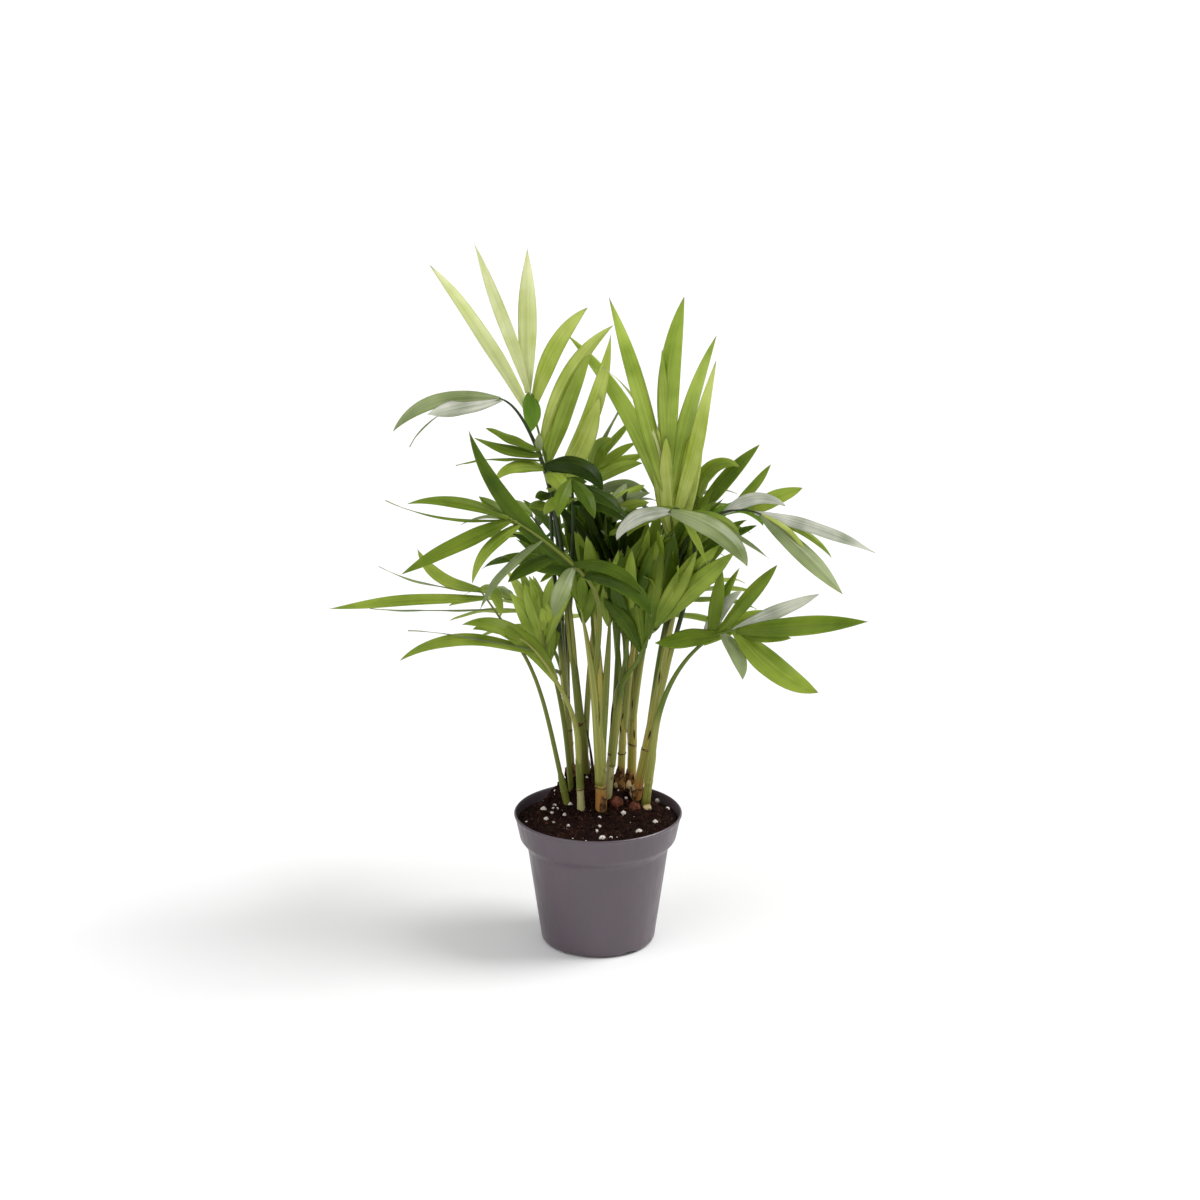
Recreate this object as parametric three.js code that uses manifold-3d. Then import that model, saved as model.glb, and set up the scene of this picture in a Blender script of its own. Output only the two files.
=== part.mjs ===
// Potted parlour palm (Chamaedorea elegans): a clump of young canes in a tapered nursery pot.
// Units are millimetres, +Z is up, and the origin is the centre of the pot's flat underside.
// The plant's front is -Y, its right is +X. Bearings are degrees round +Z from +X.

import * as THREE from 'three';
import { mergeVertices } from 'three/addons/utils/BufferGeometryUtils.js';
import Module from 'manifold-3d';

const wasm = await Module();
wasm.setup();

// ---- Driving sizes: pot and soil -------------------------------------------------------------

const GAP = 0.3; // running clearance between pieces that touch

const POT_HEIGHT = 97;
const RIM_RADIUS = 60;
const BAND_RADIUS = 56; // bottom edge of the collar under the rim
const BAND_LEVEL = 79.5;
const BAND_ROLL = { inward: 1.2, drop: 2.4 }; // the collar's rolled lower edge
const LIP = { inward: 0.7, drop: 2, corner: 0.4, width: 1.3 }; // the rim's thin outward lip
const SHOULDER_RADIUS = 50.2; // where the collar steps in to the body
const SHOULDER_LEVEL = 69.5;
const BASE_RADIUS = 41;
const BASE_CORNER = 4.5;
const CORNER_STEPS = [0.35, 0.75]; // points of the rounded foot, as shares of a quarter turn
const POT_WALL = 1.2;
const POT_FLOOR = 1.6;
const POT_SIDES = 32;

const DRAIN_SLOTS = 6;
const DRAIN_FIRST = 244; // bearing of the first slot
const DRAIN_SIZE = [12, 15, 5.4]; // radial, round the foot, height (half of it below the floor)

const SOIL_EDGE_LEVEL = 91.5; // height of the soil at the pot's middle line, away from the mound
const SOIL_SLOPE = -0.04; // rise for each millimetre towards the back
const MOUND = { x: -5, y: 34, height: 25, wide: 24, deep: 16, fadeFrom: 42, fadeTo: 54 };
const SOIL_EDGE_DROP = 3; // the soil meets the wall about this far under its middle level
const SOIL_RINGS = [10, 20, 28, 36, 44, 51];
const SOIL_SIDES = 28;
const POCKET_ROOM = 1.08; // a cane's pocket over its foot, so that flat sides clear it

// ---- Driving sizes: canes --------------------------------------------------------------------

const CANE_SIDES = 8;
const CANE_FLARE = 1.16; // foot radius over cane radius
const FLARE_END = 0.18; // share of the cane's length over which the flare fades
const NODE_PLACE = 0.38; // leaf-scar ring, slightly swollen
const NODE_SWELL = 1.1;
const NODE_REACH = 0.02; // the swelling's length on either side
const CANE_RINGS = [0, FLARE_END, NODE_PLACE - NODE_REACH, NODE_PLACE, NODE_PLACE + NODE_REACH, 1];

// foot [x, y], top [x, y, z], radius at the foot and at the top
const CANES = {
  cane_1: { foot: [-22, 12], top: [-28, 12, 126], radius: [2.7, 1.9] },
  cane_2: { foot: [-12, 7], top: [-14, 5, 145], radius: [2.9, 2.4] },
  cane_3: { foot: [-19, 31], top: [-24, 34, 182], radius: [3.2, 2.7] },
  cane_4: { foot: [-9, 32], top: [-19, 20, 222], radius: [3.2, 2.7] },
  cane_5: { foot: [2, 6], top: [1, 0, 188], radius: [3.6, 5.2] },
  cane_6: { foot: [7, 16], top: [13, 12, 176], radius: [2.6, 2.8] },
  cane_7: { foot: [16, 26], top: [20, 26, 198], radius: [2.8, 2.9] },
  cane_8: { foot: [24, 36], top: [26, 30, 205], radius: [3, 3] },
  cane_9: { foot: [27, 23], top: [46.5, 9, 200], radius: [3.4, 3.5] },
  cane_10: { foot: [34, 16], top: [40, 7, 150], radius: [3.3, 2.7] },
};

// ---- Driving sizes: fronds -------------------------------------------------------------------

const PETIOLE_SIDES = 4;
const PETIOLE_STEPS = 7;
const RIB_STEPS = 3;
const PETIOLE_RADIUS = 2.0; // at the cane, at most
const PETIOLE_SHARE = { alone: 0.75, shared: 0.38 }; // or this share of the cane's top radius
const PETIOLE_RISE = 0.38; // share of its reach over which a petiole keeps its cane's line
const KNEE_EASE = 0.3; // share of its reach over which it turns into the rib
const KNEE_RADIUS = 1.5; // where the leaflets begin
const RIB_TIP_RADIUS = 0.9;
const LEAF_ROOT_SINK = 0.6; // how far a leaflet's root sits inside the rib
const LEAF_STATIONS = [0, 0.15, 0.4, 0.66, 0.87]; // along a leaflet, tip at 1
const LEAF_OUTLINE = { root: 0.25, opening: 2.2, closing: 1.35, power: 0.6 };
const FUSING_TOLERANCE = 0.05; // corners closer than this are merged when a frond is fused
const LEAF_THICKNESS = 1.25; // ridge over the flat underside
const LEAF_MIN_THICKNESS_RATIO = 0.011; // of the leaflet's length
const DROOP_POWER = 1.6; // a leaflet bends mostly towards its tip

// Leaflets keep clear of other fronds: each is swung out of its frond's plane in small steps,
// then shortened, and is left out where nothing fits.
const LEAF_CLEARANCE = 3.4; // between sample points of leaflets of different fronds
const LIMB_CLEARANCE = 2.2; // from a leaflet's sample point to the skin of a cane or petiole
const SAMPLE_ALONG = 3.2;
const SAMPLE_ACROSS = [-1, -0.5, 0, 0.5, 1];
const SWINGS = [0, 0.08, -0.08, 0.16, -0.16, 0.25, -0.25, 0.36, -0.36, 0.5, -0.5];
const SHORTENINGS = [1, 0.85, 0.7, 0.55];

const POT_GREY = 0x645a60;
const PEAT_BROWN = 0x2a1c18;
const CANE_OLIVE = 0x8f9446;
// Colours of the foliage by age
const LIME = 0xa9bd4a;
const MID_GREEN = 0x6b8c32;
const DEEP_GREEN = 0x3d5c22;

// A symmetric feather of leaflets for a frond that heads one way: pairs open wide at its foot
// and close towards its tip.
const FEATHER_PLACES = [0.2, 0.5, 0.75, 1];
const FEATHER_OPENING = [74, 55, 36, 14];
const FEATHER_SHARE = [0.84, 1, 1, 0.92];
const FEATHER_DROOP = 42;

function feather(heading, rise, longest, places = FEATHER_PLACES) {
  const leaflets = [];
  places.forEach((place, i) => {
    for (const side of [1, -1]) {
      const bearing = heading + side * FEATHER_OPENING[i];
      leaflets.push([place, bearing, rise, longest * FEATHER_SHARE[i], FEATHER_DROOP]);
    }
  });
  return leaflets;
}

// Each frond: its cane and the bearing of its seat on the cane's top, the knee where the leaflets
// begin, the rib's tip, the rib's arch, the bearing and rise of its upper face, and the leaflet
// width. A leaflet is [place along the rib, bearing, rise, length, droop, twist, width factor].
const FRONDS = {
  frond_top_left: {
    cane: 'cane_4', seat: 190, knee: [-30, 27, 320], tip: [-48, 18, 399], arch: 1,
    face: [270, 15], width: 9.5, colour: LIME,
    leaflets: [
      [0.7, 172, 61.5, 133, 14, 25, 1.15], [0.97, 204, 71.5, 117, 5, -28, 1.05],
      [1, 92, 86, 100, 0, 30, 1.55], [0.85, 340, 77, 86, 42, -25, 1.4],
      [0.5, 350, 73, 103, 34, 25, 1.2], [0.1, 345, 61, 121, -22, -25, 1.4],
      [0.3, 350, 72, 94, 8, 28, 1.35], [0.02, 340, 59, 84, -20, -20, 1.55],
      [0.98, 300, -76, 27, 8, 0, 1.3], [0.4, 60, 50, 66, 20, 0, 1.2],
      [0.02, 15, 48, 88, -52, 50, 0.8],
    ],
  },
  frond_top_right: {
    cane: 'cane_8', seat: 310, knee: [54.5, 12, 279], tip: [46, 14, 357], arch: 0,
    face: [270, 12], width: 10, colour: LIME,
    leaflets: [
      [0.55, 190, 76, 153, 6, 28, 1.45], [0.35, 165, 71, 152, 28, -28, 1.4],
      [0.6, 185, 82, 108, 48, 60, 0.5], [0.6, 190, 87, 106, 0, 0, 0.8],
      [0.75, 0, 93, 131, 20, -28, 1.65], [0.45, 15, 83, 129, 20, 28, 1.35],
      [0.3, 345, 76, 126, 0, -25, 1.2], [0.25, 200, 86, 72, 0, 20, 1.5],
      [0.15, 10, 80, 96, 2, -20, 1.6], [0.1, 170, 82, 90, 4, 0, 1.5], [0.6, 95, 50, 80, 24, 0, 1.1],
    ],
  },
  frond_high_left: {
    cane: 'cane_3', seat: 300, knee: [-43, 0, 366], tip: [-67, -14, 402], arch: 7,
    face: [275, 40], width: 11, colour: DEEP_GREEN,
    leaflets: [
      [1, 190, 11, 82, 70], [0.97, 200, -3, 53, 14, 0, 1.1], [0.9, 186, -2, 76, 62, 60, 0.35],
    ],
  },
  frond_front_left: {
    cane: 'cane_5', seat: 200, knee: [-10, -44, 286], tip: [-60, -72, 334], arch: 3,
    face: [275, 35], width: 10, colour: MID_GREEN,
    leaflets: [
      [0.05, 208, 40, 138, -34, 0, 1.3], [1, 190, 27, 71, 44, 0, 0.85],
      [0.9, 165, 32, 31, 0, 0, 0.9], [0.95, 168, -5, 90, -27, 70, 0.6],
      [0.96, 198, -18, 84, 12, 0, 1.15], [0.85, 207, -26, 54, 48, 0, 0.85],
      [0.55, 200, -30, 66, 40, 20, 0.7], [0.05, 170, 12, 54, 8, 0, 1.3],
      [0.12, 240, -24, 42, 66, 0, 1.2], [0, 335, 4, 62, 72, 0, 1.3], [0.15, 345, 6, 56, 66, 0, 0.9],
      [0.3, 190, -14, 42, 30],
    ],
  },
  frond_front_right: {
    cane: 'cane_9', seat: 330, knee: [65, -10, 305], tip: [48, -44, 330], arch: 9,
    face: [270, 50], width: 11, colour: DEEP_GREEN,
    leaflets: [
      [0.95, 190, 6, 46, 88, 0, 1.15], [0.95, 340, -6, 69, 68, 0, 1.45],
      [0.6, 320, -50, 44, 10, 40, 0.5], [0.6, 200, 4, 44, 70], [0.4, 345, 6, 44, 60],
    ],
  },
  frond_low_left: {
    cane: 'cane_2', seat: 200, knee: [-29.5, -8, 198], tip: [-54, -24, 234], arch: 4,
    face: [275, 35], width: 10, colour: MID_GREEN,
    leaflets: [
      [0, 190, 63, 88, 80, 0, 1.35], [0.5, 182, 21, 102, 60, 0, 0.9],
      [0.6, 178, 13, 90, 12, 65, 0.35], [0.9, 160, 28, 40, 60, 0, 0.8],
    ],
  },
  frond_lowest_left: {
    cane: 'cane_1', seat: 200, knee: [-54, -4, 219.5], tip: [-82, -20, 268.5], arch: 1,
    face: [275, 35], width: 10, colour: MID_GREEN,
    leaflets: [
      [0.85, 185, 1, 110, 9, 0, 0.85], [0.95, 165, 1, 77, -22, 60, 0.45],
      [1, 160, 4, 56, -58, 0, 0.9], [1, 300, 30, 42, 140, 0, 0.8], [0.65, 180, -2, 87, -6, 60, 0.4],
    ],
  },
  frond_low_right: {
    cane: 'cane_10', seat: 0, knee: [71, -10, 224], tip: [96, -22, 239], arch: 3,
    face: [268, 40], width: 11, colour: MID_GREEN,
    leaflets: [
      [1, 350, 9, 93, 4, 0, 1.35], [0.9, 15, 21, 67, 6, 0, 0.95], [0.1, 5, 38, 61, 48, 0, 1.1],
      [0.5, 190, -4, 46, 0, 0, 1.25], [0.45, 340, 53, 71, 2, 0, 0.9], [0.1, 20, 68, 48, 44, 0, 0.9],
      [0.3, 30, 80, 51, 0, 0, 0.9], [0.05, 45, 56, 62, 12, 0, 0.75],
      [0.6, 320, -35, 38, 58, 0, 0.95], [0.97, 340, -42, 73, -24, 0, 1.65],
      [0.95, 355, -6, 40, 4, 0, 0.8],
    ],
  },
  frond_right: {
    cane: 'cane_9', seat: 150, knee: [72, -4, 311], tip: [112, -20, 322], arch: 6,
    face: [265, 45], width: 9, colour: DEEP_GREEN,
    leaflets: [
      [0.8, 20, 24, 42, 12, 0, 1.3], [0.35, 340, 40, 50, 74, 0, 1.1],
      [0.9, 345, -9, 88, 14, 0, 1.1], [1, 330, -34, 80, 6, 0, 1.45], [1, 335, -18, 48, 56, 30, 0.4],
      [0.95, 0, -15, 62, 46, 0, 0.7], [0.1, 350, 42, 48, 120], [0.5, 40, 36, 46, 2, 0, 0.8],
      [0.1, 335, -22, 52, 10, 50, 0.4],
    ],
  },
  frond_upper_right: {
    cane: 'cane_8', seat: 40, knee: [67, 25, 285], tip: [70, 28, 322], arch: 1,
    face: [270, 25], width: 10, colour: MID_GREEN,
    leaflets: [
      [0.95, 350, 86, 47, 124, 0, 1.1], [0.6, 15, 49, 68, 4, 0, 1.1], [0.3, 340, 44, 36, 20],
      [0.4, 160, 58, 46, 30], [1, 80, 18, 52, 20], [0.6, 90, 30, 52, 30],
    ],
  },
  frond_inner_left: {
    cane: 'cane_4', seat: 320, knee: [-33, -2, 335], tip: [-40, -10, 365], arch: 1,
    face: [275, 45], width: 10, colour: MID_GREEN,
    leaflets: [
      [1, 165, 20, 41, 4, 10, 0.75], [0.85, 175, 10, 48, -8, 0, 0.85],
      [0.7, 180, 6, 61, 24, 40, 0.5], [0.5, 195, 22, 40, 84, 0, 1.1],
      [0.55, 350, 16, 52, 100, 0, 1.5], [0.4, 300, 10, 30, 80, 0, 1.3], [1, 100, 70, 12, 0, 0, 0.6],
    ],
  },
  frond_middle_right: {
    cane: 'cane_6', seat: 0, knee: [29.5, -6, 216], tip: [40, -4, 238], arch: 1,
    face: [270, 20], width: 11, colour: DEEP_GREEN,
    leaflets: [
      [1, 342, 48, 82, 6, 0, 1.4], [0.8, 340, 79, 74, 4, 0, 1.8], [0.5, 330, 82, 70, 2, 0, 1.1],
      [0.9, 330, 62, 70, 6, 0, 1.2], [0.2, 170, 82, 76, 2, 0, 1.6], [0.1, 200, 64, 52, 20],
      [0.5, 90, 50, 60, 20],
    ],
  },
  frond_low_young: {
    cane: 'cane_3', seat: 225, knee: [-36, 3, 208], tip: [-39, 1, 232], arch: 1,
    face: [270, 20], width: 9, colour: LIME,
    leaflets: [
      [0.1, 170, 68, 55, 18, 0, 1.3], [0.4, 180, 77, 51, 10, 0, 1.3], [0.8, 150, 84, 43, 4, 0, 1.2],
      [1, 20, 80, 40, 6], [0.5, 355, 70, 58, 10],
    ],
  },
  frond_centre: {
    cane: 'cane_5', seat: 80, knee: [-4, 24, 233], tip: [-6, 32, 267], arch: 2,
    face: [270, 20], width: 14, colour: DEEP_GREEN,
    leaflets: [
      [0.7, 160, 79, 62, 10, 0, 1.5], [0.9, 0, 79, 58, 10, 0, 1.5], [0.2, 185, 68, 52, 20],
      [0.4, 160, 74, 58, 10], [1, 180, 86, 50, 10], [0.6, 340, 66, 62, 10],
    ],
  },
  frond_inner_front: {
    cane: 'cane_4', seat: 80, knee: [-17, 4, 311], tip: [-18, -30, 350], arch: 5,
    face: [275, 60], width: 11, colour: DEEP_GREEN,
    leaflets: [
      [0.4, 215, 10, 28, 80], [1, 250, -14, 36, 60], [0.3, 340, 10, 46, 70], [0.7, 335, 0, 44, 65],
      [1, 300, -10, 40, 60],
    ],
  },
  frond_back_top: {
    cane: 'cane_7', seat: 250, knee: [0, 45, 300], tip: [-4, 54, 336], arch: 1,
    face: [270, 35], width: 9, colour: MID_GREEN,
    leaflets: [
      [1, 20, 50, 46, 4, 0, 0.65], [0.95, 20, 30, 38, 6, 0, 0.8], [0.85, 10, 24, 40, 10, 0, 1.1],
      [0.9, 330, 86, 34, 70, 0, 1.3], [1, 350, 66, 54, 0, 60, 0.5], [0.7, 345, 40, 40, 40],
      [0.4, 160, 36, 34, 30], [0.3, 320, 10, 46, 40], [0.8, 90, 30, 50, 30], [0.5, 335, 30, 44, 60],
    ],
  },
  frond_back_left: {
    cane: 'cane_3', seat: 45, knee: [-27, 60, 259], tip: [-49, 98, 289], arch: 4,
    face: [100, 50], width: 11, colour: DEEP_GREEN, leaflets: feather(120, 10, 66),
  },
  frond_back: {
    cane: 'cane_7', seat: 70, knee: [5, 66, 261], tip: [10, 112, 297], arch: 4,
    face: [90, 50], width: 11, colour: DEEP_GREEN, leaflets: feather(90, 10, 66),
  },
  frond_back_right: {
    cane: 'cane_8', seat: 220, knee: [36, 55, 268], tip: [62, 96, 301], arch: 4,
    face: [80, 50], width: 11, colour: DEEP_GREEN, leaflets: feather(58, 10, 64),
  },
  frond_back_low_left: {
    cane: 'cane_3', seat: 135, knee: [-38, 70, 206], tip: [-63, 108, 222], arch: 5,
    face: [120, 50], width: 11, colour: MID_GREEN, leaflets: feather(123, 8, 60),
  },
  frond_back_low_right: {
    cane: 'cane_8', seat: 130, knee: [44, 64, 216], tip: [72, 106, 232], arch: 5,
    face: [60, 50], width: 11, colour: MID_GREEN, leaflets: feather(57, 8, 60),
  },
};

// ---- Small helpers ---------------------------------------------------------------------------

const radians = THREE.MathUtils.degToRad;
const vector = (xyz) => new THREE.Vector3(...xyz);

// Unit vector of a bearing round +Z and a rise above the level, both in degrees
function heading(bearing, rise) {
  const level = Math.cos(radians(rise));
  return new THREE.Vector3(
    level * Math.cos(radians(bearing)),
    level * Math.sin(radians(bearing)),
    Math.sin(radians(rise)),
  );
}

// A closed manifold solid from a geometry whose faces point outwards
function solidOf(geometry) {
  const bare = geometry.clone();
  bare.deleteAttribute('normal');
  bare.deleteAttribute('uv');
  const merged = mergeVertices(bare, 1e-5);
  return new wasm.Manifold(new wasm.Mesh({
    numProp: 3,
    vertProperties: new Float32Array(merged.attributes.position.array),
    triVerts: new Uint32Array(merged.index.array),
  }));
}

function geometryOf(solid) {
  const mesh = solid.getMesh();
  const geometry = new THREE.BufferGeometry();
  geometry.setAttribute('position', new THREE.BufferAttribute(mesh.vertProperties, mesh.numProp));
  geometry.setIndex(new THREE.BufferAttribute(mesh.triVerts, 1));
  geometry.computeVertexNormals();
  return geometry;
}

// The largest connected body of a solid: the hollows that joining seals are filled, and loose
// scraps are dropped
function wholeBody(solid) {
  const bodies = solid.simplify(FUSING_TOLERANCE).decompose();
  return bodies.reduce((best, body) => (body.volume() > best.volume() ? body : best));
}

// A closed skin over rings of points, each wound the same way round the direction of travel.
// With a point it closes on that point, otherwise on a flat cap.
function loft(rings, point = null) {
  const sides = rings[0].length;
  const corners = rings.flat();
  const faces = [];
  for (let ring = 0; ring + 1 < rings.length; ring += 1) {
    for (let side = 0; side < sides; side += 1) {
      const next = (side + 1) % sides;
      const low = ring * sides;
      const high = low + sides;
      faces.push(low + side, low + next, high + next, low + side, high + next, high + side);
    }
  }
  for (let side = 1; side + 1 < sides; side += 1) faces.push(0, side + 1, side);
  const last = (rings.length - 1) * sides;
  if (point) {
    corners.push(point);
    for (let side = 0; side < sides; side += 1) {
      faces.push(last + side, last + ((side + 1) % sides), corners.length - 1);
    }
  } else {
    for (let side = 1; side + 1 < sides; side += 1) faces.push(last, last + side, last + side + 1);
  }
  const geometry = new THREE.BufferGeometry().setFromPoints(corners);
  geometry.setIndex(faces);
  return geometry;
}

// Points of a round section about a centre, square to a direction
function roundRing(centre, direction, radius, sides) {
  const across = new THREE.Vector3(1, 0, 0).addScaledVector(direction, -direction.x).normalize();
  const along = new THREE.Vector3().crossVectors(direction, across);
  return Array.from({ length: sides }, (_, side) => {
    const angle = (2 * Math.PI * side) / sides;
    return centre.clone()
      .addScaledVector(across, radius * Math.cos(angle))
      .addScaledVector(along, radius * Math.sin(angle));
  });
}

// ---- Pot and soil ----------------------------------------------------------------------------

// Outer wall of the pot as [radius, height], from the foot up
const POT_OUTLINE = [
  [BASE_RADIUS, BASE_CORNER],
  [SHOULDER_RADIUS, SHOULDER_LEVEL],
  [BAND_RADIUS - BAND_ROLL.inward, BAND_LEVEL - BAND_ROLL.drop],
  [BAND_RADIUS, BAND_LEVEL],
  [RIM_RADIUS - LIP.inward, POT_HEIGHT - LIP.drop],
];

// Radius of the pot's outer wall at a height
function potRadius(level) {
  for (let i = 0; i + 1 < POT_OUTLINE.length; i += 1) {
    const [lowRadius, low] = POT_OUTLINE[i];
    const [highRadius, high] = POT_OUTLINE[i + 1];
    if (level <= high) return lowRadius + ((highRadius - lowRadius) * (level - low)) / (high - low);
  }
  return RIM_RADIUS;
}

function pot() {
  const foot = BASE_RADIUS - BASE_CORNER;
  const corner = CORNER_STEPS.map((turn) => {
    const angle = (Math.PI / 2) * (turn - 1);
    return [foot + BASE_CORNER * Math.cos(angle), BASE_CORNER + BASE_CORNER * Math.sin(angle)];
  });
  const inside = POT_OUTLINE.map(([radius, level]) => [radius - POT_WALL, level]).reverse();
  const profile = [
    [0, 0], [foot, 0], ...corner, ...POT_OUTLINE,
    [RIM_RADIUS, POT_HEIGHT - LIP.drop / 2], [RIM_RADIUS - LIP.corner, POT_HEIGHT],
    [RIM_RADIUS - LIP.width, POT_HEIGHT],
    ...inside, [foot, POT_FLOOR], [0, POT_FLOOR],
  ];
  const shell = new THREE.LatheGeometry(
    profile.map(([radius, level]) => new THREE.Vector2(radius, level)), POT_SIDES,
  );
  shell.rotateX(Math.PI / 2);
  let solid = solidOf(shell);
  for (let slot = 0; slot < DRAIN_SLOTS; slot += 1) {
    const cut = new THREE.BoxGeometry(...DRAIN_SIZE);
    cut.translate(foot + DRAIN_SIZE[0] / 3, 0, 0);
    cut.rotateZ(radians(DRAIN_FIRST + (360 * slot) / DRAIN_SLOTS));
    solid = solid.subtract(solidOf(cut));
  }
  return solid;
}

// Height of the soil's surface: a gentle slope with a mound round the middle of the clump
function soilLevel(x, y) {
  const spread = ((x - MOUND.x) / MOUND.wide) ** 2 + ((y - MOUND.y) / MOUND.deep) ** 2;
  const fade = 1 - THREE.MathUtils.smoothstep(Math.hypot(x, y), MOUND.fadeFrom, MOUND.fadeTo);
  return SOIL_EDGE_LEVEL + SOIL_SLOPE * y + MOUND.height * Math.exp(-spread / 2) * fade;
}

// Level of a cane's flat foot: the lowest soil under it
function footLevel(cane) {
  const [x, y] = cane.foot;
  const radius = cane.radius[0] * CANE_FLARE + GAP;
  const around = Array.from({ length: CANE_SIDES }, (_, side) => {
    const angle = (2 * Math.PI * side) / CANE_SIDES;
    return soilLevel(x + radius * Math.cos(angle), y + radius * Math.sin(angle));
  });
  return Math.min(...around);
}

function soil() {
  const inset = POT_WALL + GAP;
  const circle = (radius, level) => Array.from({ length: SOIL_SIDES }, (_, side) => {
    const angle = (2 * Math.PI * side) / SOIL_SIDES;
    const x = radius * Math.cos(angle);
    const y = radius * Math.sin(angle);
    return new THREE.Vector3(x, y, level ?? soilLevel(x, y));
  });
  const underside = POT_FLOOR + GAP;
  const edge = potRadius(SOIL_EDGE_LEVEL - SOIL_EDGE_DROP) - inset;
  const side = POT_OUTLINE.slice(0, -1).map(([radius, level]) => circle(radius - inset, level + GAP));
  const rings = [
    circle(BASE_RADIUS - BASE_CORNER - GAP, underside), ...side, circle(edge),
    ...SOIL_RINGS.map((radius) => circle(radius)).reverse(),
  ];
  let solid = solidOf(loft(rings, new THREE.Vector3(0, 0, soilLevel(0, 0))));
  for (const cane of Object.values(CANES)) {
    const radius = cane.radius[0] * CANE_FLARE * POCKET_ROOM + GAP;
    const pocket = new THREE.CylinderGeometry(radius, radius, MOUND.height, CANE_SIDES);
    pocket.rotateX(Math.PI / 2);
    pocket.translate(...cane.foot, footLevel(cane) - GAP + MOUND.height / 2);
    solid = solid.subtract(solidOf(pocket));
  }
  return solid;
}

// ---- Canes -----------------------------------------------------------------------------------

function caneLine(cane) {
  const foot = new THREE.Vector3(...cane.foot, footLevel(cane));
  return new THREE.LineCurve3(foot, vector(cane.top));
}

// A straight, slightly leaning cane with a flared foot on a level cut and a leaf-scar ring
function cane(sizes) {
  const line = caneLine(sizes);
  const direction = line.getTangent(0);
  const up = new THREE.Vector3(0, 0, 1);
  const [footRadius, topRadius] = sizes.radius;
  const rings = CANE_RINGS.map((place, ring) => {
    const flare = 1 + (CANE_FLARE - 1) * Math.max(0, 1 - place / FLARE_END);
    const swell = place === NODE_PLACE ? NODE_SWELL : 1;
    const radius = THREE.MathUtils.lerp(footRadius, topRadius, place) * flare * swell;
    return roundRing(line.getPoint(place), ring === 0 ? up : direction, radius, CANE_SIDES);
  });
  return loft(rings);
}

// ---- Fronds ----------------------------------------------------------------------------------

const frondsOn = (name) => Object.values(FRONDS).filter((frond) => frond.cane === name).length;

// The petiole rises along its cane and bends over to the knee, and the rib arches on to its tip
function frondSpine(frond) {
  const line = caneLine(CANES[frond.cane]);
  const axis = line.getTangent(0);
  const topRadius = CANES[frond.cane].radius[1];
  const shared = frondsOn(frond.cane) > 1;
  const share = shared ? PETIOLE_SHARE.shared : PETIOLE_SHARE.alone;
  const petioleRadius = Math.min(PETIOLE_RADIUS, topRadius * share);
  const seat = heading(frond.seat, 0);
  seat.addScaledVector(axis, -seat.dot(axis)).normalize();
  const start = line.getPoint(1).addScaledVector(axis, GAP);
  if (shared) start.addScaledVector(seat, topRadius - petioleRadius);
  const knee = vector(frond.knee);
  const tip = vector(frond.tip);
  const crest = knee.clone().add(tip).multiplyScalar(0.5);
  crest.z += 2 * frond.arch;
  const rib = new THREE.QuadraticBezierCurve3(knee, crest, tip);
  const reach = start.distanceTo(knee);
  const petiole = new THREE.CubicBezierCurve3(
    start,
    start.clone().addScaledVector(axis, reach * PETIOLE_RISE),
    knee.clone().addScaledVector(rib.getTangent(0), -reach * KNEE_EASE),
    knee,
  );
  return { petiole, rib, petioleRadius, axis };
}

function spineSolid({ petiole, rib, petioleRadius, axis }) {
  const rings = [];
  for (let step = 0; step <= PETIOLE_STEPS; step += 1) {
    const place = step / PETIOLE_STEPS;
    const radius = THREE.MathUtils.lerp(petioleRadius, KNEE_RADIUS, place);
    const direction = step === 0 ? axis : petiole.getTangent(place);
    rings.push(roundRing(petiole.getPoint(place), direction, radius, PETIOLE_SIDES));
  }
  for (let step = 1; step <= RIB_STEPS; step += 1) {
    const place = step / RIB_STEPS;
    const radius = THREE.MathUtils.lerp(KNEE_RADIUS, RIB_TIP_RADIUS, place);
    rings.push(roundRing(rib.getPoint(place), rib.getTangent(place), radius, PETIOLE_SIDES));
  }
  return solidOf(loft(rings));
}

// Half-width of a leaflet at a place along it, as a share of its full half-width: it opens fast
// from a narrow root and closes on a long tip
function leafOutline(place) {
  const opening = LEAF_OUTLINE.root + LEAF_OUTLINE.opening * place;
  const closing = LEAF_OUTLINE.closing * (1 - place) ** LEAF_OUTLINE.power;
  return Math.min(opening, closing, 1);
}

// The leaflet's midrib points and directions: it leaves the rib at its bearing and rise, and
// loses its droop in angle on the way to its tip. A swing tilts it out of the frond's plane.
function leafLine(root, face, [, bearing, rise, length, droop], swing, share, steps) {
  const points = [root.clone()];
  const directions = [];
  for (let step = 0; step < steps; step += 1) {
    const place = (step + 0.5) / steps;
    const direction = heading(bearing, rise - droop * place ** DROOP_POWER);
    direction.addScaledVector(face, swing).normalize();
    if (step === 0) directions.push(direction);
    directions.push(direction);
    points.push(points[step].clone().addScaledVector(direction, (length * share) / steps));
  }
  return { points, directions };
}

const LEAF_LINE_STEPS = 24;

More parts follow.
